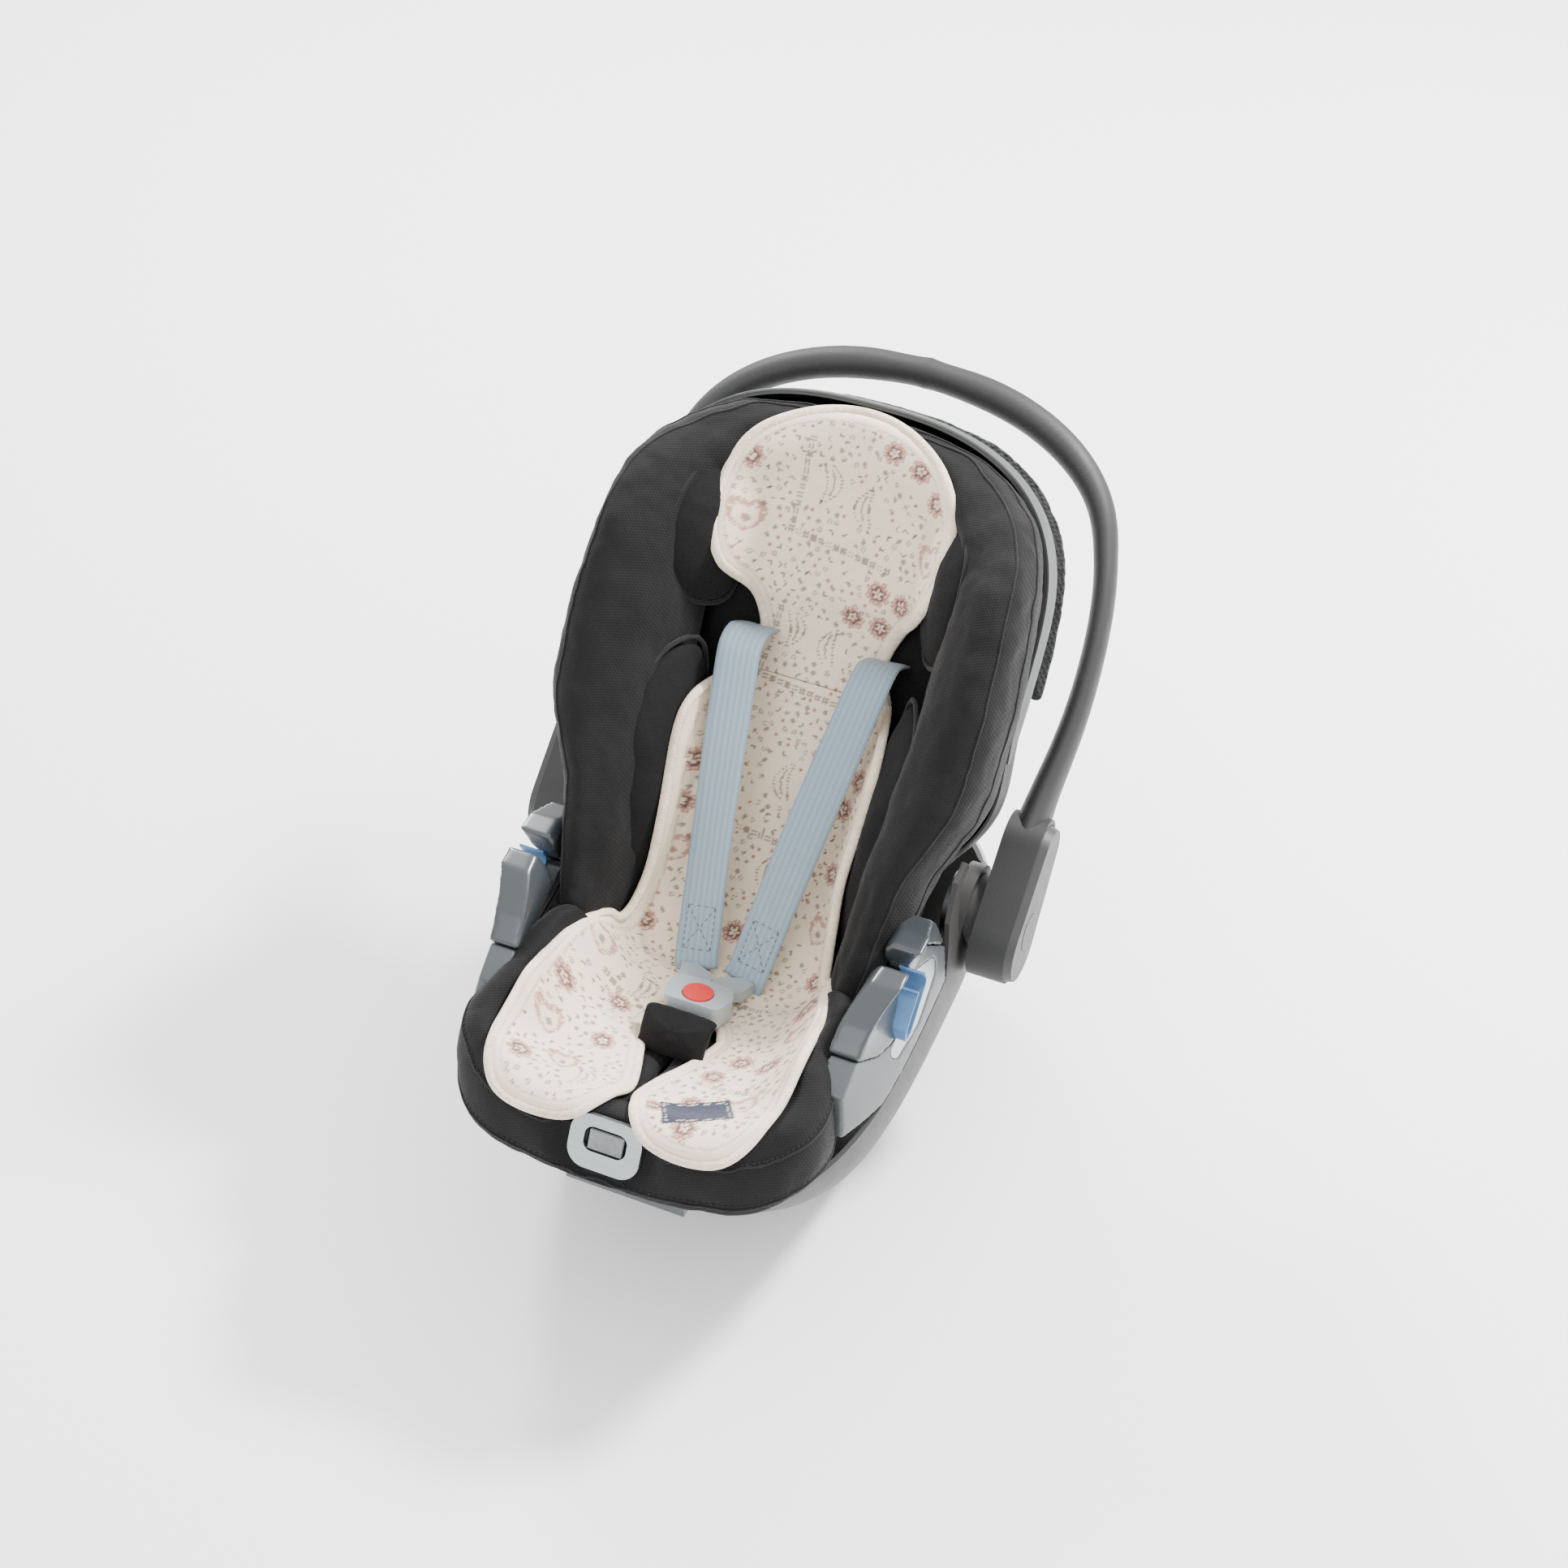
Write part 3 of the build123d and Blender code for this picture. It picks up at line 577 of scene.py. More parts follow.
def ring_section(out, inn, ridge, bulge, side):
    """Closed outline of the padding between its outer and inner points."""
    dx, dw = inn[0] - out[0], inn[1] - out[1]
    low = 26
    shape = [(0.0, low), (-0.02, low + (ridge - low) * 0.25), (0.0, low + (ridge - low) * 0.55),
             (0.04, low + (ridge - low) * 0.85), (0.16, ridge * 0.985), (0.34, ridge), (0.52, ridge * 0.93),
             (0.68, ridge * 0.78), (0.80, ridge * 0.56), (0.90, ridge * 0.33), (0.97, ridge * 0.12), (1.02, -4),
             (0.75, -10), (0.35, -6), (0.08, 10)]
    points = []
    for i, (f, n) in enumerate(shape):
        x, w = out[0] + dx * f, out[1] + dw * f
        swell = bulge * (1.0 if 1 <= i <= 3 else 0.6 if i == 4 else 0.0)
        points.append(bp(side * (x + swell), w, n))
    return points


stations = [("side", w) for w in (-6, 0, 12, 30, 55, 85, 115, 145, 170, 195, 220, 250, 285, 320, 350, 370)]
stations += [("top", math.radians(a)) for a in (10, 20, 31, 43, 56, 70)]
rings = []
for side, order in ((1, stations), (-1, stations[::-1])):
    for kind, a in order:
        out, inn, ridge, bulge = ring_station(kind, a)
        rings.append(ring_section(out, inn, ridge, bulge, side))
    if side > 0:
        out, inn, ridge, bulge = ring_station("top", math.pi / 2)
        rings.append(ring_section((0, out[1]), (0, inn[1]), ridge, bulge, 1))
bucket = closed_loft("bucket_padding", rings, "cover_fabric")
inflate(bucket, 2.5, 4.0)
subdivide(bucket, 2)
pucker(bucket, 22, 0.9, 1)
pucker(bucket, 60, 2.2, 2)
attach(bucket, "backrest")
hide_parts("bolster_right", "bolster_left", "head_bolster")

# seams of the bucket: along the ridge, and where the outer side meets the front
for word, share, height in (("ridge", 0.10, 0.95), ("side", 0.0, 0.62)):
    line = []
    for side, order in ((1, stations), (-1, stations[::-1])):
        for kind, a in order[2:] if side > 0 else order[:-2]:
            out, inn, ridge, bulge = ring_station(kind, a)
            line.append(bp(side * (out[0] + (inn[0] - out[0]) * share + bulge), out[1] + (inn[1] - out[1]) * share,
                           max(30, ridge * height)))
    piping(f"bucket_seam_{word}", surface(bucket), line, 0.0011, "backrest", count=260, lift=0.0002)

# back of the bucket, under the liner
rows = []
for w, half, n in ((36, 98, 8), (90, 105, 8), (150, 107, 5), (201, 110, 2), (250, 112, -5),
                   (300, 114, -13), (350, 116, -4), (408, 114, 10), (455, 92, 14), (485, 50, 14)):
    row = []
    for k in range(13):
        t = k / 6 - 1
        row.append(bp(half * t, w, n + 12 * abs(t) ** 3 - 2))
    for k in range(12, -1, -1):
        row.append(bp(half * (k / 6 - 1), w, n - 26))
    rows.append(row)
back = closed_loft("back_padding", rows, "cushion_fabric")
pucker(back, 50, 1.5, 3)
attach(back, "backrest")
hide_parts("back_pad")


PILLOW_RINGS = 7


def pillow(name, loop, crown, body, replaced, seed, pipe=False, sim=True):
    """Sewn cushion inside an edge loop: its front rises by the crown vector, its back is nearly flat."""
    loop = smooth_path(loop, 56, True)
    centre = sum(loop, Vector()) / len(loop)
    rings = []
    for i in range(PILLOW_RINGS):
        f = i / (PILLOW_RINGS - 0.35)
        rings.append([p.lerp(centre, f) + crown * (1 - (1 - math.sin(f * math.pi / 2)) ** 1.4) for p in loop])
    under = [[p.lerp(centre, f) - crown.normalized() * 0.010 for p in loop] for f in (0.06, 0.5, 0.93)]
    obj = closed_loft(name, under[::-1] + rings, "cushion_fabric")
    if sim:
        inflate(obj, 3.0, 4.0)
    pucker(obj, 26, 0.8, seed)
    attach(obj, body)
    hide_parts(replaced)
    if pipe:
        edge = tube(name + "_piping", loop, 0.0021, MAT["piping"], closed=True)
        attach(edge, body)


# cushions beside the body and wings beside the head lean against the bucket's inner slope
for side, word in ((1, "right"), (-1, "left")):
    loop = [bp(side * x, w, n) for x, w, n in (
        (88, 30, 14), (108, 22, 42), (118, 60, 74), (121, 130, 92), (124, 200, 96), (124, 246, 86), (112, 276, 60),
        (98, 280, 32), (91, 240, 15), (90, 170, 11), (90, 90, 11))]
    crown = FRONT * 0.010 + Vector((-side, 0, 0)) * 0.015
    pillow(f"body_cushion_sewn_{word}", loop, crown, "backrest", f"body_cushion_{word}", 5 + side, pipe=True)
    loop = [bp(side * x, w, n) for x, w, n in (
        (92, 322, 6), (110, 312, 38), (126, 330, 76), (131, 372, 92), (128, 414, 86), (114, 444, 58),
        (102, 448, 28), (94, 416, 12), (90, 370, 4))]
    pillow(f"head_wing_sewn_{word}", loop, crown, "headrest", f"headrest_wing_{word}", 9 + side, pipe=True)

# head pillow under the liner's head lobe
loop = [bp(x, w, n) for x, w, n in (
    (-76, 346, 4), (0, 338, 2), (76, 346, 4), (86, 400, 12), (82, 446, 16), (50, 470, 17), (0, 476, 17),
    (-50, 470, 17), (-82, 446, 16), (-86, 400, 12))]
pillow("head_pillow", loop, FRONT * 0.004, "headrest", "head_pad", 13, sim=False)


# ---------------------------------------------------------------- foot-end cover and seat
# outline at the bottom edge, right half from the hips to the front middle: x, y, crown height
COVER = [(140, -128, 262), (150, -160, 265), (153, -200, 266), (158, -232, 266), (163, -258, 263), (156, -290, 258),
         (139, -318, 253), (112, -337, 250), (60, -349, 249), (0, -352, 249)]


def seat_height(y):
    """Height of the seat pan's sloping top (mm)."""
    return 159 + (-86 - y) * 0.3289


def cover_section(x, y, top):
    """From the bottom edge over the crown and down to the seat's middle."""
    centre = (0.0, max(-262.0, min(-140.0, y * 0.55 - 62)))
    side = min(1.0, max(0.0, (y + 352) / 70))
    bottom = 192 if y < -225 else 205
    inner = 34 if y < -225 else 26
    reach = math.hypot(x - centre[0], y - centre[1])
    steps = [(-4, bottom - 2), (3, bottom + 3), (5.5, bottom + 22), (3, (bottom + top) / 2 + 12), (-3, top - 9),
             (-12, top - 1.5), (-22, top), (-inner, top - 6 - 2 * side)]
    points = []
    front = min(1.0, max(0.0, (-y - 285) / 45))
    for out, z in steps:
        f = 1 + (out - 0.42 * front * max(0.0, min(z, 240) - 196)) / reach
        px, py = centre[0] + (x - centre[0]) * f, centre[1] + (y - centre[1]) * f
        points.append((px, py, z))
    ex, ey, ez = points[-1]
    for f, blendin in ((0.16, 0.55), (0.32, 0.82), (0.52, 0.96), (0.76, 1.0), (1.0, 1.0)):
        px, py = ex + (centre[0] - ex) * f, ey + (centre[1] - ey) * f
        pz = ez + (seat_height(py) + 2 - ez) * blendin
        points.append((px, py, pz))
    points.append((centre[0], centre[1], seat_height(centre[1]) - 22))
    points.append((ex * 0.8, ey if y > -300 else ey + 12, seat_height(max(ey, -300)) - 24))
    return [Vector(p) / 1000 for p in points]


outline = smooth_path([(x / 1000, y / 1000, z / 1000) for x, y, z in COVER]
                      + [(-x / 1000, y / 1000, z / 1000) for x, y, z in COVER[-2::-1]], 61)
rings = [cover_section(p.x * 1000, p.y * 1000, p.z * 1000) for p in outline]
cover = closed_loft("foot_cover", rings, "cover_fabric", levels=2)
pucker(cover, 18, 0.5, 21)
pucker(cover, 60, 2.0, 22)
# the cover dips behind the adjuster's plate, inside an oval with these half sizes (metres)
DIP_ACROSS, DIP_ALONG = 0.041, 0.034
PLATE_TILT = math.radians(60)
plate_up = Vector((0, -math.sin(PLATE_TILT), math.cos(PLATE_TILT)))
plate_along = Vector((0, math.cos(PLATE_TILT), math.sin(PLATE_TILT)))
plate_low, plate_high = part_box("adjuster_plate")
plate_mid = (plate_low + plate_high) / 2
for v in cover.data.vertices:
    rel = v.co - plate_mid
    across = math.hypot(rel.x / DIP_ACROSS, (rel - plate_up * rel.dot(plate_up)).dot(plate_along) / DIP_ALONG)
    over = rel.dot(plate_up) + 0.0036
    if across < 1.35 and over > 0:
        v.co -= plate_up * over * min(1.0, (1.35 - across) / 0.35)
cover.data.update()
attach(cover, "root")
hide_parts("leg_cover", "seat_pad")

on_cover = surface(cover)
for word, z, grow in (("low", 203, 1.012), ("crown", 246, 1.0)):
    line = [Vector((p.x * grow, p.y * grow, z / 1000)) for p in outline[4:-4]]
    piping(f"foot_cover_seam_{word}", on_cover, line, 0.0012, "root", count=200, lift=0.0002)
    stitches(f"foot_cover_stitch_{word}", on_cover, [q + Vector((0, 0, 0.004)) for q in line], "root",
             material="piping")

loop = [Vector((x, y, z)) / 1000 for x, y, z in (
    (-31, -180, 226), (-32, -192, 225), (-31, -206, 214), (-29, -213, 205), (0, -215, 204), (29, -213, 205),
    (31, -206, 214), (32, -192, 225), (31, -180, 226), (0, -178, 226))]
pillow("crotch_padding", loop, Vector((0, -0.006, 0.008)), "root", "crotch_pad", 31, sim=False)


# ---------------------------------------------------------------- hard pieces with rounded edges
def rounded(name, source, material, passes):
    """A moulded piece of the CAD with its edges rounded off."""
    obj = remeshed(name, source, 1.6, passes, 0.7)
    set_material(obj, MAT[material])
    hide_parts(source)
    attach(obj, "root")


for word in ("right", "left"):
    rounded(f"belt_hook_moulding_{word}", f"belt_hook_{word}", "hook_grey", 16)
    rounded(f"guide_cap_moulding_{word}", f"guide_cap_{word}", "hook_grey", 12)
    rounded(f"side_panel_moulding_{word}", f"side_panel_{word}", "panel_grey", 6)
RING_RADIUS = 0.0115                        # bright ring on each handle button
for word, side in (("right", 1), ("left", -1)):
    low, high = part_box(f"handle_button_{word}")
    mid = (low + high) / 2
    x = (high.x if side > 0 else low.x) - side * 0.0002
    circle = [Vector((x, mid.y + RING_RADIUS * math.cos(k * math.pi / 24),
                      mid.z + RING_RADIUS * math.sin(k * math.pi / 24))) for k in range(48)]
    badge = tube(f"button_ring_{word}", circle, 0.0009, MAT["satin_silver"], closed=True)
    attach(badge, f"handle_button_{word}")


# ---------------------------------------------------------------- printed liner
# outline in mm, across and along the centre line from the foot end: a round head lobe, a narrow neck, a waisted
# body and two foot lobes round an opening for the crotch strap
HEAD_LOBE = (0, 704, 105, 99, 2.1)          # centre across, centre along, half width, half length, squareness
FOOT_LOBE = (66, 112, 59, 72, 2.6)
OPENING = (0, 200, 34, 34, 2.0)
SIDES = [(57, 590), (74, 552), (90, 505), (86, 400), (92, 325), (108, 265), (121, 205)]


def rounded_arc(shape, first, last, count):
    """Points on a rounded oval between two angles in degrees."""
    cu, cv, half_u, half_v, square = shape
    arc = []
    for a in np.radians(np.linspace(first, last, count)):
        x, y = math.cos(a), math.sin(a)
        arc.append((cu + half_u * math.copysign(abs(x) ** (2 / square), x),
                    cv + half_v * math.copysign(abs(y) ** (2 / square), y)))
    return arc


RIGHT_HALF = (rounded_arc(HEAD_LOBE, 70, -50, 7) + SIDES + rounded_arc(FOOT_LOBE, 0, -180, 9)
              + rounded_arc(OPENING, -15, 70, 4))
LINER = [(0, 803)] + RIGHT_HALF + [(0, 234)] + [(-u, v) for u, v in reversed(RIGHT_HALF)]
NECK = 0.560                                # where the liner is split, metres along
STEP = 0.0015                               # mesh spacing of the liner
BINDING = 0.0045                            # radius of its rolled edge

under = surface(cover, back, bucket, *[bpy.data.objects[n] for n in (
    "body_cushion_sewn_right", "body_cushion_sewn_left", "head_wing_sewn_right", "head_wing_sewn_left",
    "head_pillow")])
# height of the padding over the lining line, found by rays on a coarse grid
CELL = 0.006
RAY = 0.085
CLEAR = 0.0068                              # the liner's face above the padding
US = np.arange(-0.144, 0.1441, CELL)
VS = np.arange(0.024, 0.8161, CELL)
HEIGHT = np.zeros((len(VS), len(US)))
for j, v in enumerate(VS):
    p, up = on_line(US, np.full(len(US), v), np.zeros(len(US)))
    for i in range(len(US)):
        start = Vector(p[i]) + Vector(up[i]) * RAY
        hit = under.ray_cast(start, -Vector(up[i]), RAY + 0.04)
        HEIGHT[j, i] = RAY - hit[3] + CLEAR if hit[0] is not None else 0.004
HEIGHT = np.clip(HEIGHT, -0.004, 0.060)


def around(table):
    """The table shifted by one cell in each direction, nine copies."""
    wide = np.pad(table, 1, mode="edge")
    return [wide[1 + a:wide.shape[0] - 1 + a, 1 + b:wide.shape[1] - 1 + b] for a in (-1, 0, 1) for b in (-1, 0, 1)]


# widened by a cell so that nothing shows through, then softened but never below what is under it by much
HEIGHT = np.max(around(HEIGHT), axis=0)
for _ in range(6):
    softer = sum(around(HEIGHT)) / 9
    HEIGHT = np.maximum(softer, HEIGHT * 0.7 + softer * 0.3)


def liner_height(u, v):
    """Height of the liner's face, from the coarse table, with slow waves."""
    fi = np.clip((u - US[0]) / CELL, 0, len(US) - 1.001)
    fj = np.clip((v - VS[0]) / CELL, 0, len(VS) - 1.001)
    i, j = fi.astype(int), fj.astype(int)
    a, b = fi - i, fj - j
    h = (HEIGHT[j, i] * (1 - a) * (1 - b) + HEIGHT[j, i + 1] * a * (1 - b)
         + HEIGHT[j + 1, i] * (1 - a) * b + HEIGHT[j + 1, i + 1] * a * b)
    wave = 0.0011 * np.sin(u * 62 + v * 23 + 1.0) + 0.0009 * np.sin(v * 71 - u * 35)
    return h + wave


def outline_points(count):
    loop = smooth_path([(u / 1000, v / 1000, 0) for u, v in LINER], count, True)
    return np.array([(p.x, p.y) for p in loop])


EDGE = outline_points(320)


def edge_distance(u, v):
    """Distance to the liner's edge, positive inside."""
    best = np.full(u.shape, 1.0)
    inside = np.zeros(u.shape, bool)
    for (x0, y0), (x1, y1) in zip(EDGE, np.roll(EDGE, -1, axis=0)):
        dx, dy = x1 - x0, y1 - y0
        t = np.clip(((u - x0) * dx + (v - y0) * dy) / (dx * dx + dy * dy), 0, 1)
        best = np.minimum(best, np.hypot(u - x0 - t * dx, v - y0 - t * dy))
        crossing = ((y0 > v) != (y1 > v)) & (u < dx * (v - y0) / (dy + 1e-12) + x0)
        inside ^= crossing
    return np.where(inside, best, -best)


CREAM = np.array((0.80, 0.68, 0.53))
ROSE = np.array((0.34, 0.125, 0.10))
DARK = np.array((0.085, 0.045, 0.035))
NAVY = np.array((0.012, 0.018, 0.045))
TAUPE = np.array((0.17, 0.115, 0.085))
PATCH = (0.060, 0.090)                      # middle of the plain sewn patch
PLAIN_EDGE = 0.0085                         # unprinted margin of the liner


def blot(colour, mask, paint, strength=1.0):
    colour[mask] = colour[mask] * (1 - strength) + paint * strength


def flower(colour, u, v, cu, cv, size, turn):
    x, y = u - cu, v - cv
    r, a = np.hypot(x, y), np.arctan2(y, x) + turn
    petal = size * (1 + 0.10 * np.cos(8 * a))
    blot(colour, r < petal, ROSE, 0.85)
    blot(colour, (np.abs(r - petal * 0.82) < 0.0009) & (np.cos(16 * a) > -0.2), CREAM, 0.7)
    blot(colour, r < size * (0.58 + 0.10 * np.cos(5 * a)), DARK, 0.85)
    blot(colour, r < size * (0.34 + 0.12 * np.cos(5 * a)), CREAM, 0.85)
    blot(colour, r < size * 0.14, ROSE, 1.0)


def heart(colour, u, v, cu, cv, size, turn):
    c, s = math.cos(turn), math.sin(turn)
    x = ((u - cu) * c + (v - cv) * s) / size
    y = (-(u - cu) * s + (v - cv) * c) / size
    field = (x * x + y * y - 0.75) ** 3 - 1.35 * x * x * y ** 3
    inner = (x * x * 2.4 + y * y * 2.4 - 0.75) ** 3 - 9.0 * x * x * y ** 3
    blot(colour, field < 0, ROSE, 0.75)
    blot(colour, (field < -0.05) & (field > -0.17) & (np.sin(np.arctan2(y, x) * 18) > 0), CREAM, 0.8)
    blot(colour, inner < 0, CREAM, 0.85)
    blot(colour, inner < -0.25, DARK, 0.7)


def leaf(colour, u, v, cu, cv, size, side):
    """Curled leaf: a dotted outline round a bent midrib; side -1 turns it half round."""
    x, y = (u - cu) * side / size, (v - cv) * side / size
    bend = x - 0.5 * y * y + 0.1
    width = 0.34 * np.sqrt(np.clip(1 - (y / 0.9) ** 2, 0, 1)) * (1 - 0.35 * y)
    blot(colour, (np.abs(np.abs(bend) - width) < 0.06) & (np.abs(y) < 0.9) & (np.sin(y * 38) > -0.4), TAUPE, 0.85)
    blot(colour, (np.abs(bend) < 0.045) & (np.abs(y) < 0.6), DARK, 0.7)


def clover(colour, u, v, cu, cv, size):
    x, y = np.abs(u - cu), np.abs(v - cv)
    blot(colour, (np.hypot(x - size * 0.55, y - size * 0.55) < size * 0.5), TAUPE, 0.8)


def small_motif(colour, u, v, cu, cv, kind, turn):
    x, y = u - cu, v - cv
    r, a = np.hypot(x, y), np.arctan2(y, x) + turn
    if kind == 0:
        blot(colour, r < 0.0021 * (1 + 0.35 * np.cos(6 * a)), TAUPE, 0.8)
    elif kind == 1:
        blot(colour, (r < 0.0024) & (np.hypot(x - 0.0012 * math.cos(turn), y - 0.0012 * math.sin(turn)) > 0.0020),
             DARK, 0.9)
    elif kind == 2:
        blot(colour, r < 0.0016, ROSE, 0.9)
    else:
        blot(colour, (r < 0.0023) & (r > 0.0010), DARK, 0.6)


def liner_print(u, v, inside):
    """Cotton print: flowers, hearts, curled leaves, clover lines and small sprigs."""
    colour = np.tile(CREAM, (len(u), 1))
    picks = random.Random(11)
    taken = []

    def stamp(draw, cu, cv, reach, *rest):
        m = (np.abs(u - cu) < reach) & (np.abs(v - cv) < reach)
        if m.any():
            part = colour[m]
            draw(part, u[m], v[m], cu, cv, *rest)
            colour[m] = part

    large = [("f", -86, 742), ("h", -82, 690), ("f", 34, 776), ("f", 62, 766), ("f", 84, 742), ("h", 88, 692),
             ("f", 42, 655), ("f", 66, 650), ("f", 22, 628), ("f", 48, 624), ("t", -18, 735), ("t", 14, 722),
             ("t", -28, 602), ("t", 4, 594), ("f", -76, 470), ("h", -70, 515), ("f", 72, 490), ("f", 60, 462),
             ("f", 28, 500), ("t", -2, 470), ("t", 6, 388), ("f", -78, 430), ("h", -76, 385), ("f", 70, 405),
             ("h", 70, 350), ("f", -84, 315), ("f", 84, 305), ("f", -4, 330), ("t", -20, 290), ("h", -96, 236),
             ("f", 98, 232), ("f", -62, 205), ("t", -52, 240), ("f", 64, 178), ("f", 92, 165), ("f", 50, 150),
             ("h", -96, 132), ("h", 92, 108), ("f", -52, 150), ("t", -40, 85), ("f", 50, 105), ("f", 24, 82),
             ("f", 62, 62), ("f", -98, 82), ("h", -66, 100), ("f", -104, 178), ("h", 106, 200)]
    for kind, cu, cv in large:
        cu, cv, turn = cu / 1000, cv / 1000, picks.uniform(-0.5, 0.5)
        if kind == "f":
            stamp(flower, cu, cv, 0.016, 0.0108, turn)
            taken.append((cu, cv, 0.0145))
        elif kind == "h":
            stamp(heart, cu, cv, 0.020, 0.0135, turn)
            taken.append((cu, cv, 0.0165))
        else:
            stamp(leaf, cu, cv, 0.030, 0.019, 1 if cu > -0.008 else -1)
            taken.append((cu, cv, 0.018))
    for x0, y0, x1, y1 in ((-46, 690, 46, 676), (-46, 690, -40, 770), (-52, 556, 38, 546), (-52, 556, -44, 618),
                           (-30, 420, 40, 412), (-30, 262, 48, 256), (-90, 222, -40, 214), (44, 136, 100, 128)):
        count = int(math.hypot(x1 - x0, y1 - y0) / 7)
        for k in range(count + 1):
            cu, cv = (x0 + (x1 - x0) * k / count) / 1000, (y0 + (y1 - y0) * k / count) / 1000
            if all(math.hypot(cu - a, cv - b) > c for a, b, c in taken):
                stamp(clover, cu, cv, 0.006, 0.0026)
                taken.append((cu, cv, 0.0048))
    row = 0
    v0 = 0.040
    while v0 < 0.806:
        u0 = -0.132 + (row % 2) * 0.0042
        while u0 < 0.130:
            cu, cv = u0 + picks.uniform(-0.0021, 0.0021), v0 + picks.uniform(-0.0021, 0.0021)
            kind, turn = picks.randrange(4), picks.uniform(0, 6.28)
            if picks.random() > 0.13 and all(math.hypot(cu - a, cv - b) > c for a, b, c in taken):
                stamp(small_motif, cu, cv, 0.004, kind, turn)
            u0 += 0.0094
        v0 += 0.0078
        row += 1
    colour[inside < PLAIN_EDGE] = CREAM
    blot(colour, (inside > PLAIN_EDGE) & (inside < 0.0098), CREAM * 0.62, 0.8)
    across, along = u - PATCH[0], v - PATCH[1]
    x, y = across * 0.90 + along * 0.44, along * 0.90 - across * 0.44
    blot(colour, (np.abs(x) < 0.029) & (np.abs(y) < 0.020), NAVY)
    border = np.maximum(np.abs(x) - 0.0258, np.abs(y) - 0.0168)
    blot(colour, (np.abs(border) < 0.0008) & (np.sin((x + y) * 2400) > -0.2), CREAM, 0.7)
    return colour


def liner_material():
    m = Nodes("liner_fabric")
    paint = m.add("ShaderNodeAttribute", attribute_name="print")
    tone = m.add("ShaderNodeMix", data_type="RGBA", blend_type="MULTIPLY")
    tone.inputs[0].default_value = 1.0
    m.link(paint.outputs["Color"], tone.inputs[6])
    m.link(m.ramp(m.noise(30.0, 4), 0.25, 0.75, (0.93, 0.92, 0.91), (1.0, 1.0, 1.0)), tone.inputs[7])
    m.link(tone.outputs[2], m.bsdf.inputs["Base Color"])
    m.bsdf.inputs["Roughness"].default_value = 0.88
    m.bsdf.inputs["Sheen Weight"].default_value = 0.15
    weave = m.math("MULTIPLY", m.wave(520, (1, 0.2, 0.2)), m.wave(520, (0.1, 0.6, 0.8)))
    m.link(m.bump(weave, 0.0003, after=m.bump(m.noise(70.0, 3), 0.0009)), m.bsdf.inputs["Normal"])
    return m.mat


MAT["liner_fabric"] = liner_material()
MAT["binding"] = cloth("binding", (0.72, 0.60, 0.47), 700, 0.0002, 0.15, 0.8, 0.0008)


def liner_piece(name, v0, v1):
    """One sewn part of the liner: printed face, 4 mm thick."""
    us = np.arange(-0.138, 0.1381, STEP)
    vs = np.arange(v0, v1 + STEP / 2, STEP)
    u, v = np.meshgrid(us, vs)
    inside = edge_distance(u, v)
    drop = 0.0035 * np.clip(1 - inside / 0.007, 0, 1) ** 2
    p, _ = on_line(u, v, liner_height(u, v) - drop)
    keep = inside > 0.0008
    cell = keep[:-1, :-1] & keep[1:, :-1] & keep[:-1, 1:] & keep[1:, 1:]
    used = np.zeros(keep.shape, bool)
    for a in (0, 1):
        for b in (0, 1):
            used[a:used.shape[0] - 1 + a, b:used.shape[1] - 1 + b] |= cell
    index = np.full(keep.shape, -1)
    index[used] = np.arange(used.sum())
    faces = np.stack([index[:-1, :-1][cell], index[:-1, 1:][cell], index[1:, 1:][cell], index[1:, :-1][cell]], axis=1)
    obj = mesh_object(name, p[used], faces.tolist(), MAT["liner_fabric"])
    ink = liner_print(u[used], v[used], inside[used])
    attribute = obj.data.color_attributes.new("print", "FLOAT_COLOR", "POINT")
    rgba = np.concatenate([ink, np.ones((len(ink), 1))], axis=1)
    attribute.data.foreach_set("color", rgba.astype(np.float32).ravel())
    solid = obj.modifiers.new("solid", "SOLIDIFY")
    solid.thickness = 0.004
    solid.offset = -1
    apply_modifiers(obj)
    return obj


def liner_binding(name, rows):
    """Rolled edge of the liner over a run of its outline."""
    u = np.array([q[0] for q in rows])
    v = np.array([q[1] for q in rows])
    p, up = on_line(u, v, liner_height(u, v) - 0.0030)
    obj = tube(name, [Vector(q) for q in p], BINDING, MAT["binding"], sides=10, flat=0.72,
               normals=[Vector(q) for q in up])
    return obj


BINDING_EDGE = [tuple(q) for q in outline_points(640)]
start = next(i for i, q in enumerate(BINDING_EDGE) if q[0] > 0 and q[1] < NECK)
ordered = BINDING_EDGE[start:] + BINDING_EDGE[:start]
lower = [q for q in ordered if q[1] < NECK]
upper = [q for q in ordered if q[1] >= NECK]
liner_low = liner_piece("liner_seat_and_back", 0.036, NECK)
binding_low = liner_binding("liner_binding_lower", [(lower[0][0], NECK)] + lower + [(lower[-1][0], NECK)])
liner_high = liner_piece("liner_head_part", NECK, 0.807)
binding_high = liner_binding("liner_binding_head", [(upper[0][0], NECK)] + upper + [(upper[-1][0], NECK)])
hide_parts("liner_seat", "liner_back")
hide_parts("liner_head")
for piece in (liner_low, binding_low):
    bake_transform(piece)
for piece in (liner_high, binding_high):
    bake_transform(piece)

# ---------------------------------------------------------------- harness straps
STRAP_HALF = 0.0195
STRAP_THICK = 0.0012


def strap_line(t):
    """Middle of a shoulder strap, from the buckle (0) to the shoulder slot (1), in mm of the backrest frame."""
    return 24 + 36 * t, 12 + 267 * t, 64 - 23 * t + 4 * math.sin(math.pi * t)


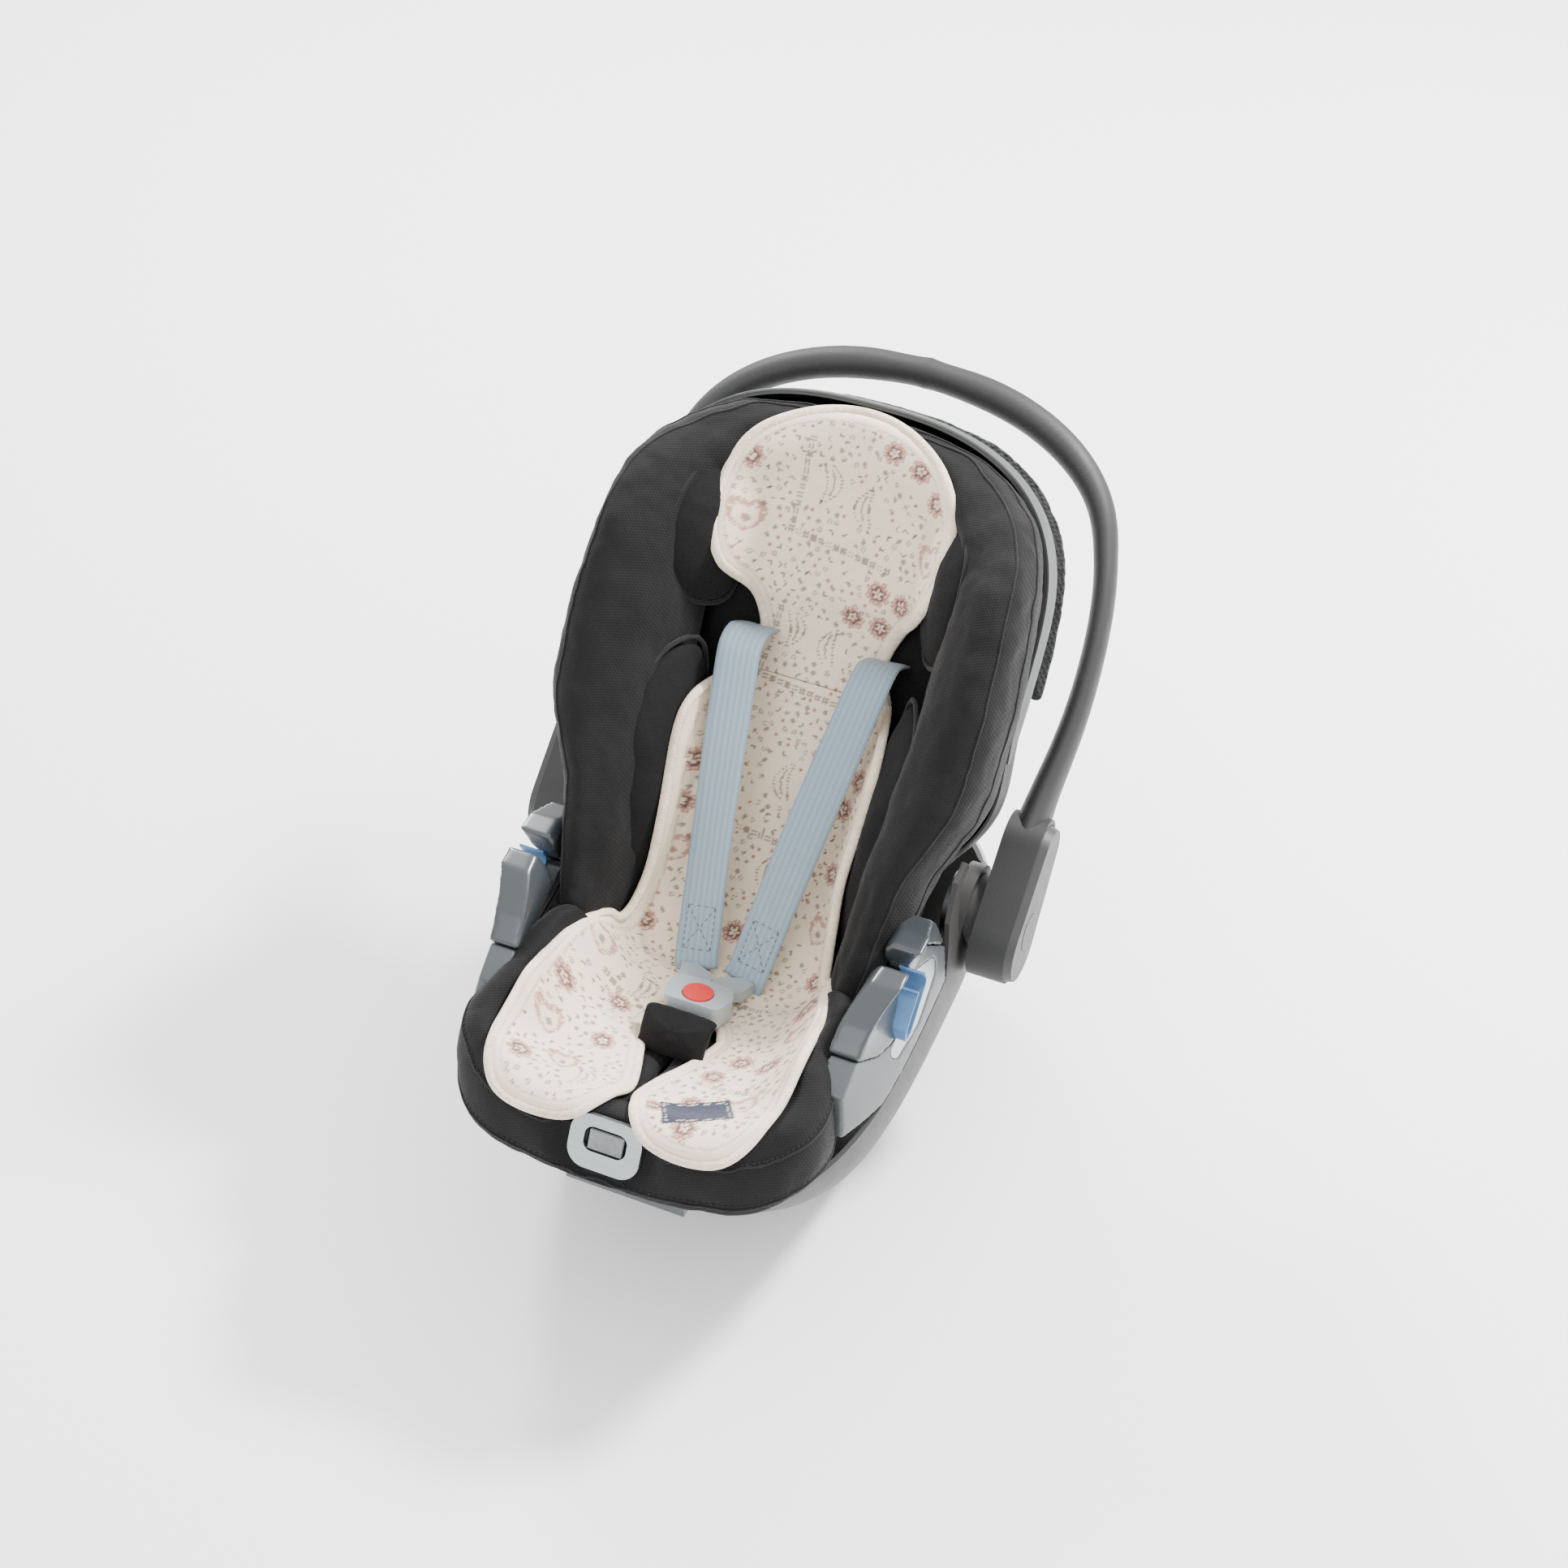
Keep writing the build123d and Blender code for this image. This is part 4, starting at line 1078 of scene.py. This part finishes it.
def strap_piece(name, side, nodes):
    centre = [bp(side * 21, 3, 62)] + [bp(side * x, w, n) for x, w, n in (strap_line(k / 10) for k in range(11))]
    centre += [bp(side * 61, 290, 36), bp(side * 61, 298, 27), bp(side * 61, 301, 14), bp(side * 61, 301, -26)]
    path = smooth_path(centre, 150)
    points, faces, uvs = [], [], []
    section = [(-1, 0), (-0.97, 0.8), (-0.6, 1.25), (-0.2, 1.0), (0.2, 1.0), (0.6, 1.25), (0.97, 0.8), (1, 0),
               (0.97, -1), (0.4, -1), (-0.4, -1), (-0.97, -1)]
    n = len(section)
    length = 0.0
    for i, p in enumerate(path):
        a, b = path[max(i - 1, 0)], path[min(i + 1, len(path) - 1)]
        along = (b - a).normalized()
        across = (Vector((1, 0, 0)) - along * along.x).normalized()
        up = across.cross(along)
        if i:
            length += (p - path[i - 1]).length
        twist = 0.10 * math.sin(i * 0.055 + side)
        across = (across + up * twist).normalized()
        up = across.cross(along)
        for x, z in section:
            points.append(p + across * x * STRAP_HALF + up * z * STRAP_THICK)
            uvs.append((x * STRAP_HALF, length))
    for i in range(len(path) - 1):
        for k in range(n):
            q = (k + 1) % n
            faces.append((i * n + k, (i + 1) * n + k, (i + 1) * n + q, i * n + q))
    faces.append(tuple(range(n)))
    faces.append(tuple((len(path) - 1) * n + k for k in range(n - 1, -1, -1)))
    obj = mesh_object(name, points, faces, MAT["webbing"])
    layer = obj.data.uv_layers.new(name="UVMap")
    for loop in obj.data.loops:
        layer.data[loop.index].uv = uvs[loop.vertex_index]
    face_outward(obj)
    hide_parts(*nodes)
    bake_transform(obj)
    return obj, path


for side, word in ((1, "right"), (-1, "left")):
    strap, path = strap_piece(f"harness_strap_{word}", side, [f"strap_end_{word}", f"shoulder_strap_{word}"])
    on_strap = surface(strap)
    low, high = path[8], path[24]
    sew = (high - low).normalized()
    across = (Vector((1, 0, 0)) - sew * sew.x).normalized() * 0.013
    lift = FRONT * 0.006
    a, b, c, d = low - across + lift, low + across + lift, high + across + lift, high - across + lift
    for k, (p, q) in enumerate(((a, b), (b, c), (c, d), (d, a), (a, c), (b, d))):
        stitches(f"strap_stitch_{word}_{k}", on_strap, [p, p.lerp(q, 0.5), q], "root", radius=0.00035)

# ---------------------------------------------------------------- stowed canopy and the crotch strap's weave
PLEAT = 0.0075                              # metres from one fold of the stowed canopy to the next
canopy = remeshed("canopy_folded", "canopy_pack", 3, 2, 0.6)
inflate(canopy, 4.0, 3, 3, (25, 10, 0.5))
subdivide(canopy, 1)
set_material(canopy, MAT["canopy_fabric"])
push(canopy, np.sin(coords(canopy.data) @ np.array(FRONT) * 2 * math.pi / PLEAT) * 0.0011)
pucker(canopy, 30, 0.9, 31)
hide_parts("canopy_pack")
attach(canopy, "backrest")
set_material(NODES["crotch_strap"], cloth("strap_weave", (0.23, 0.32, 0.39), 1400, 0.0004, 0.15, 0.7, 0.0004))
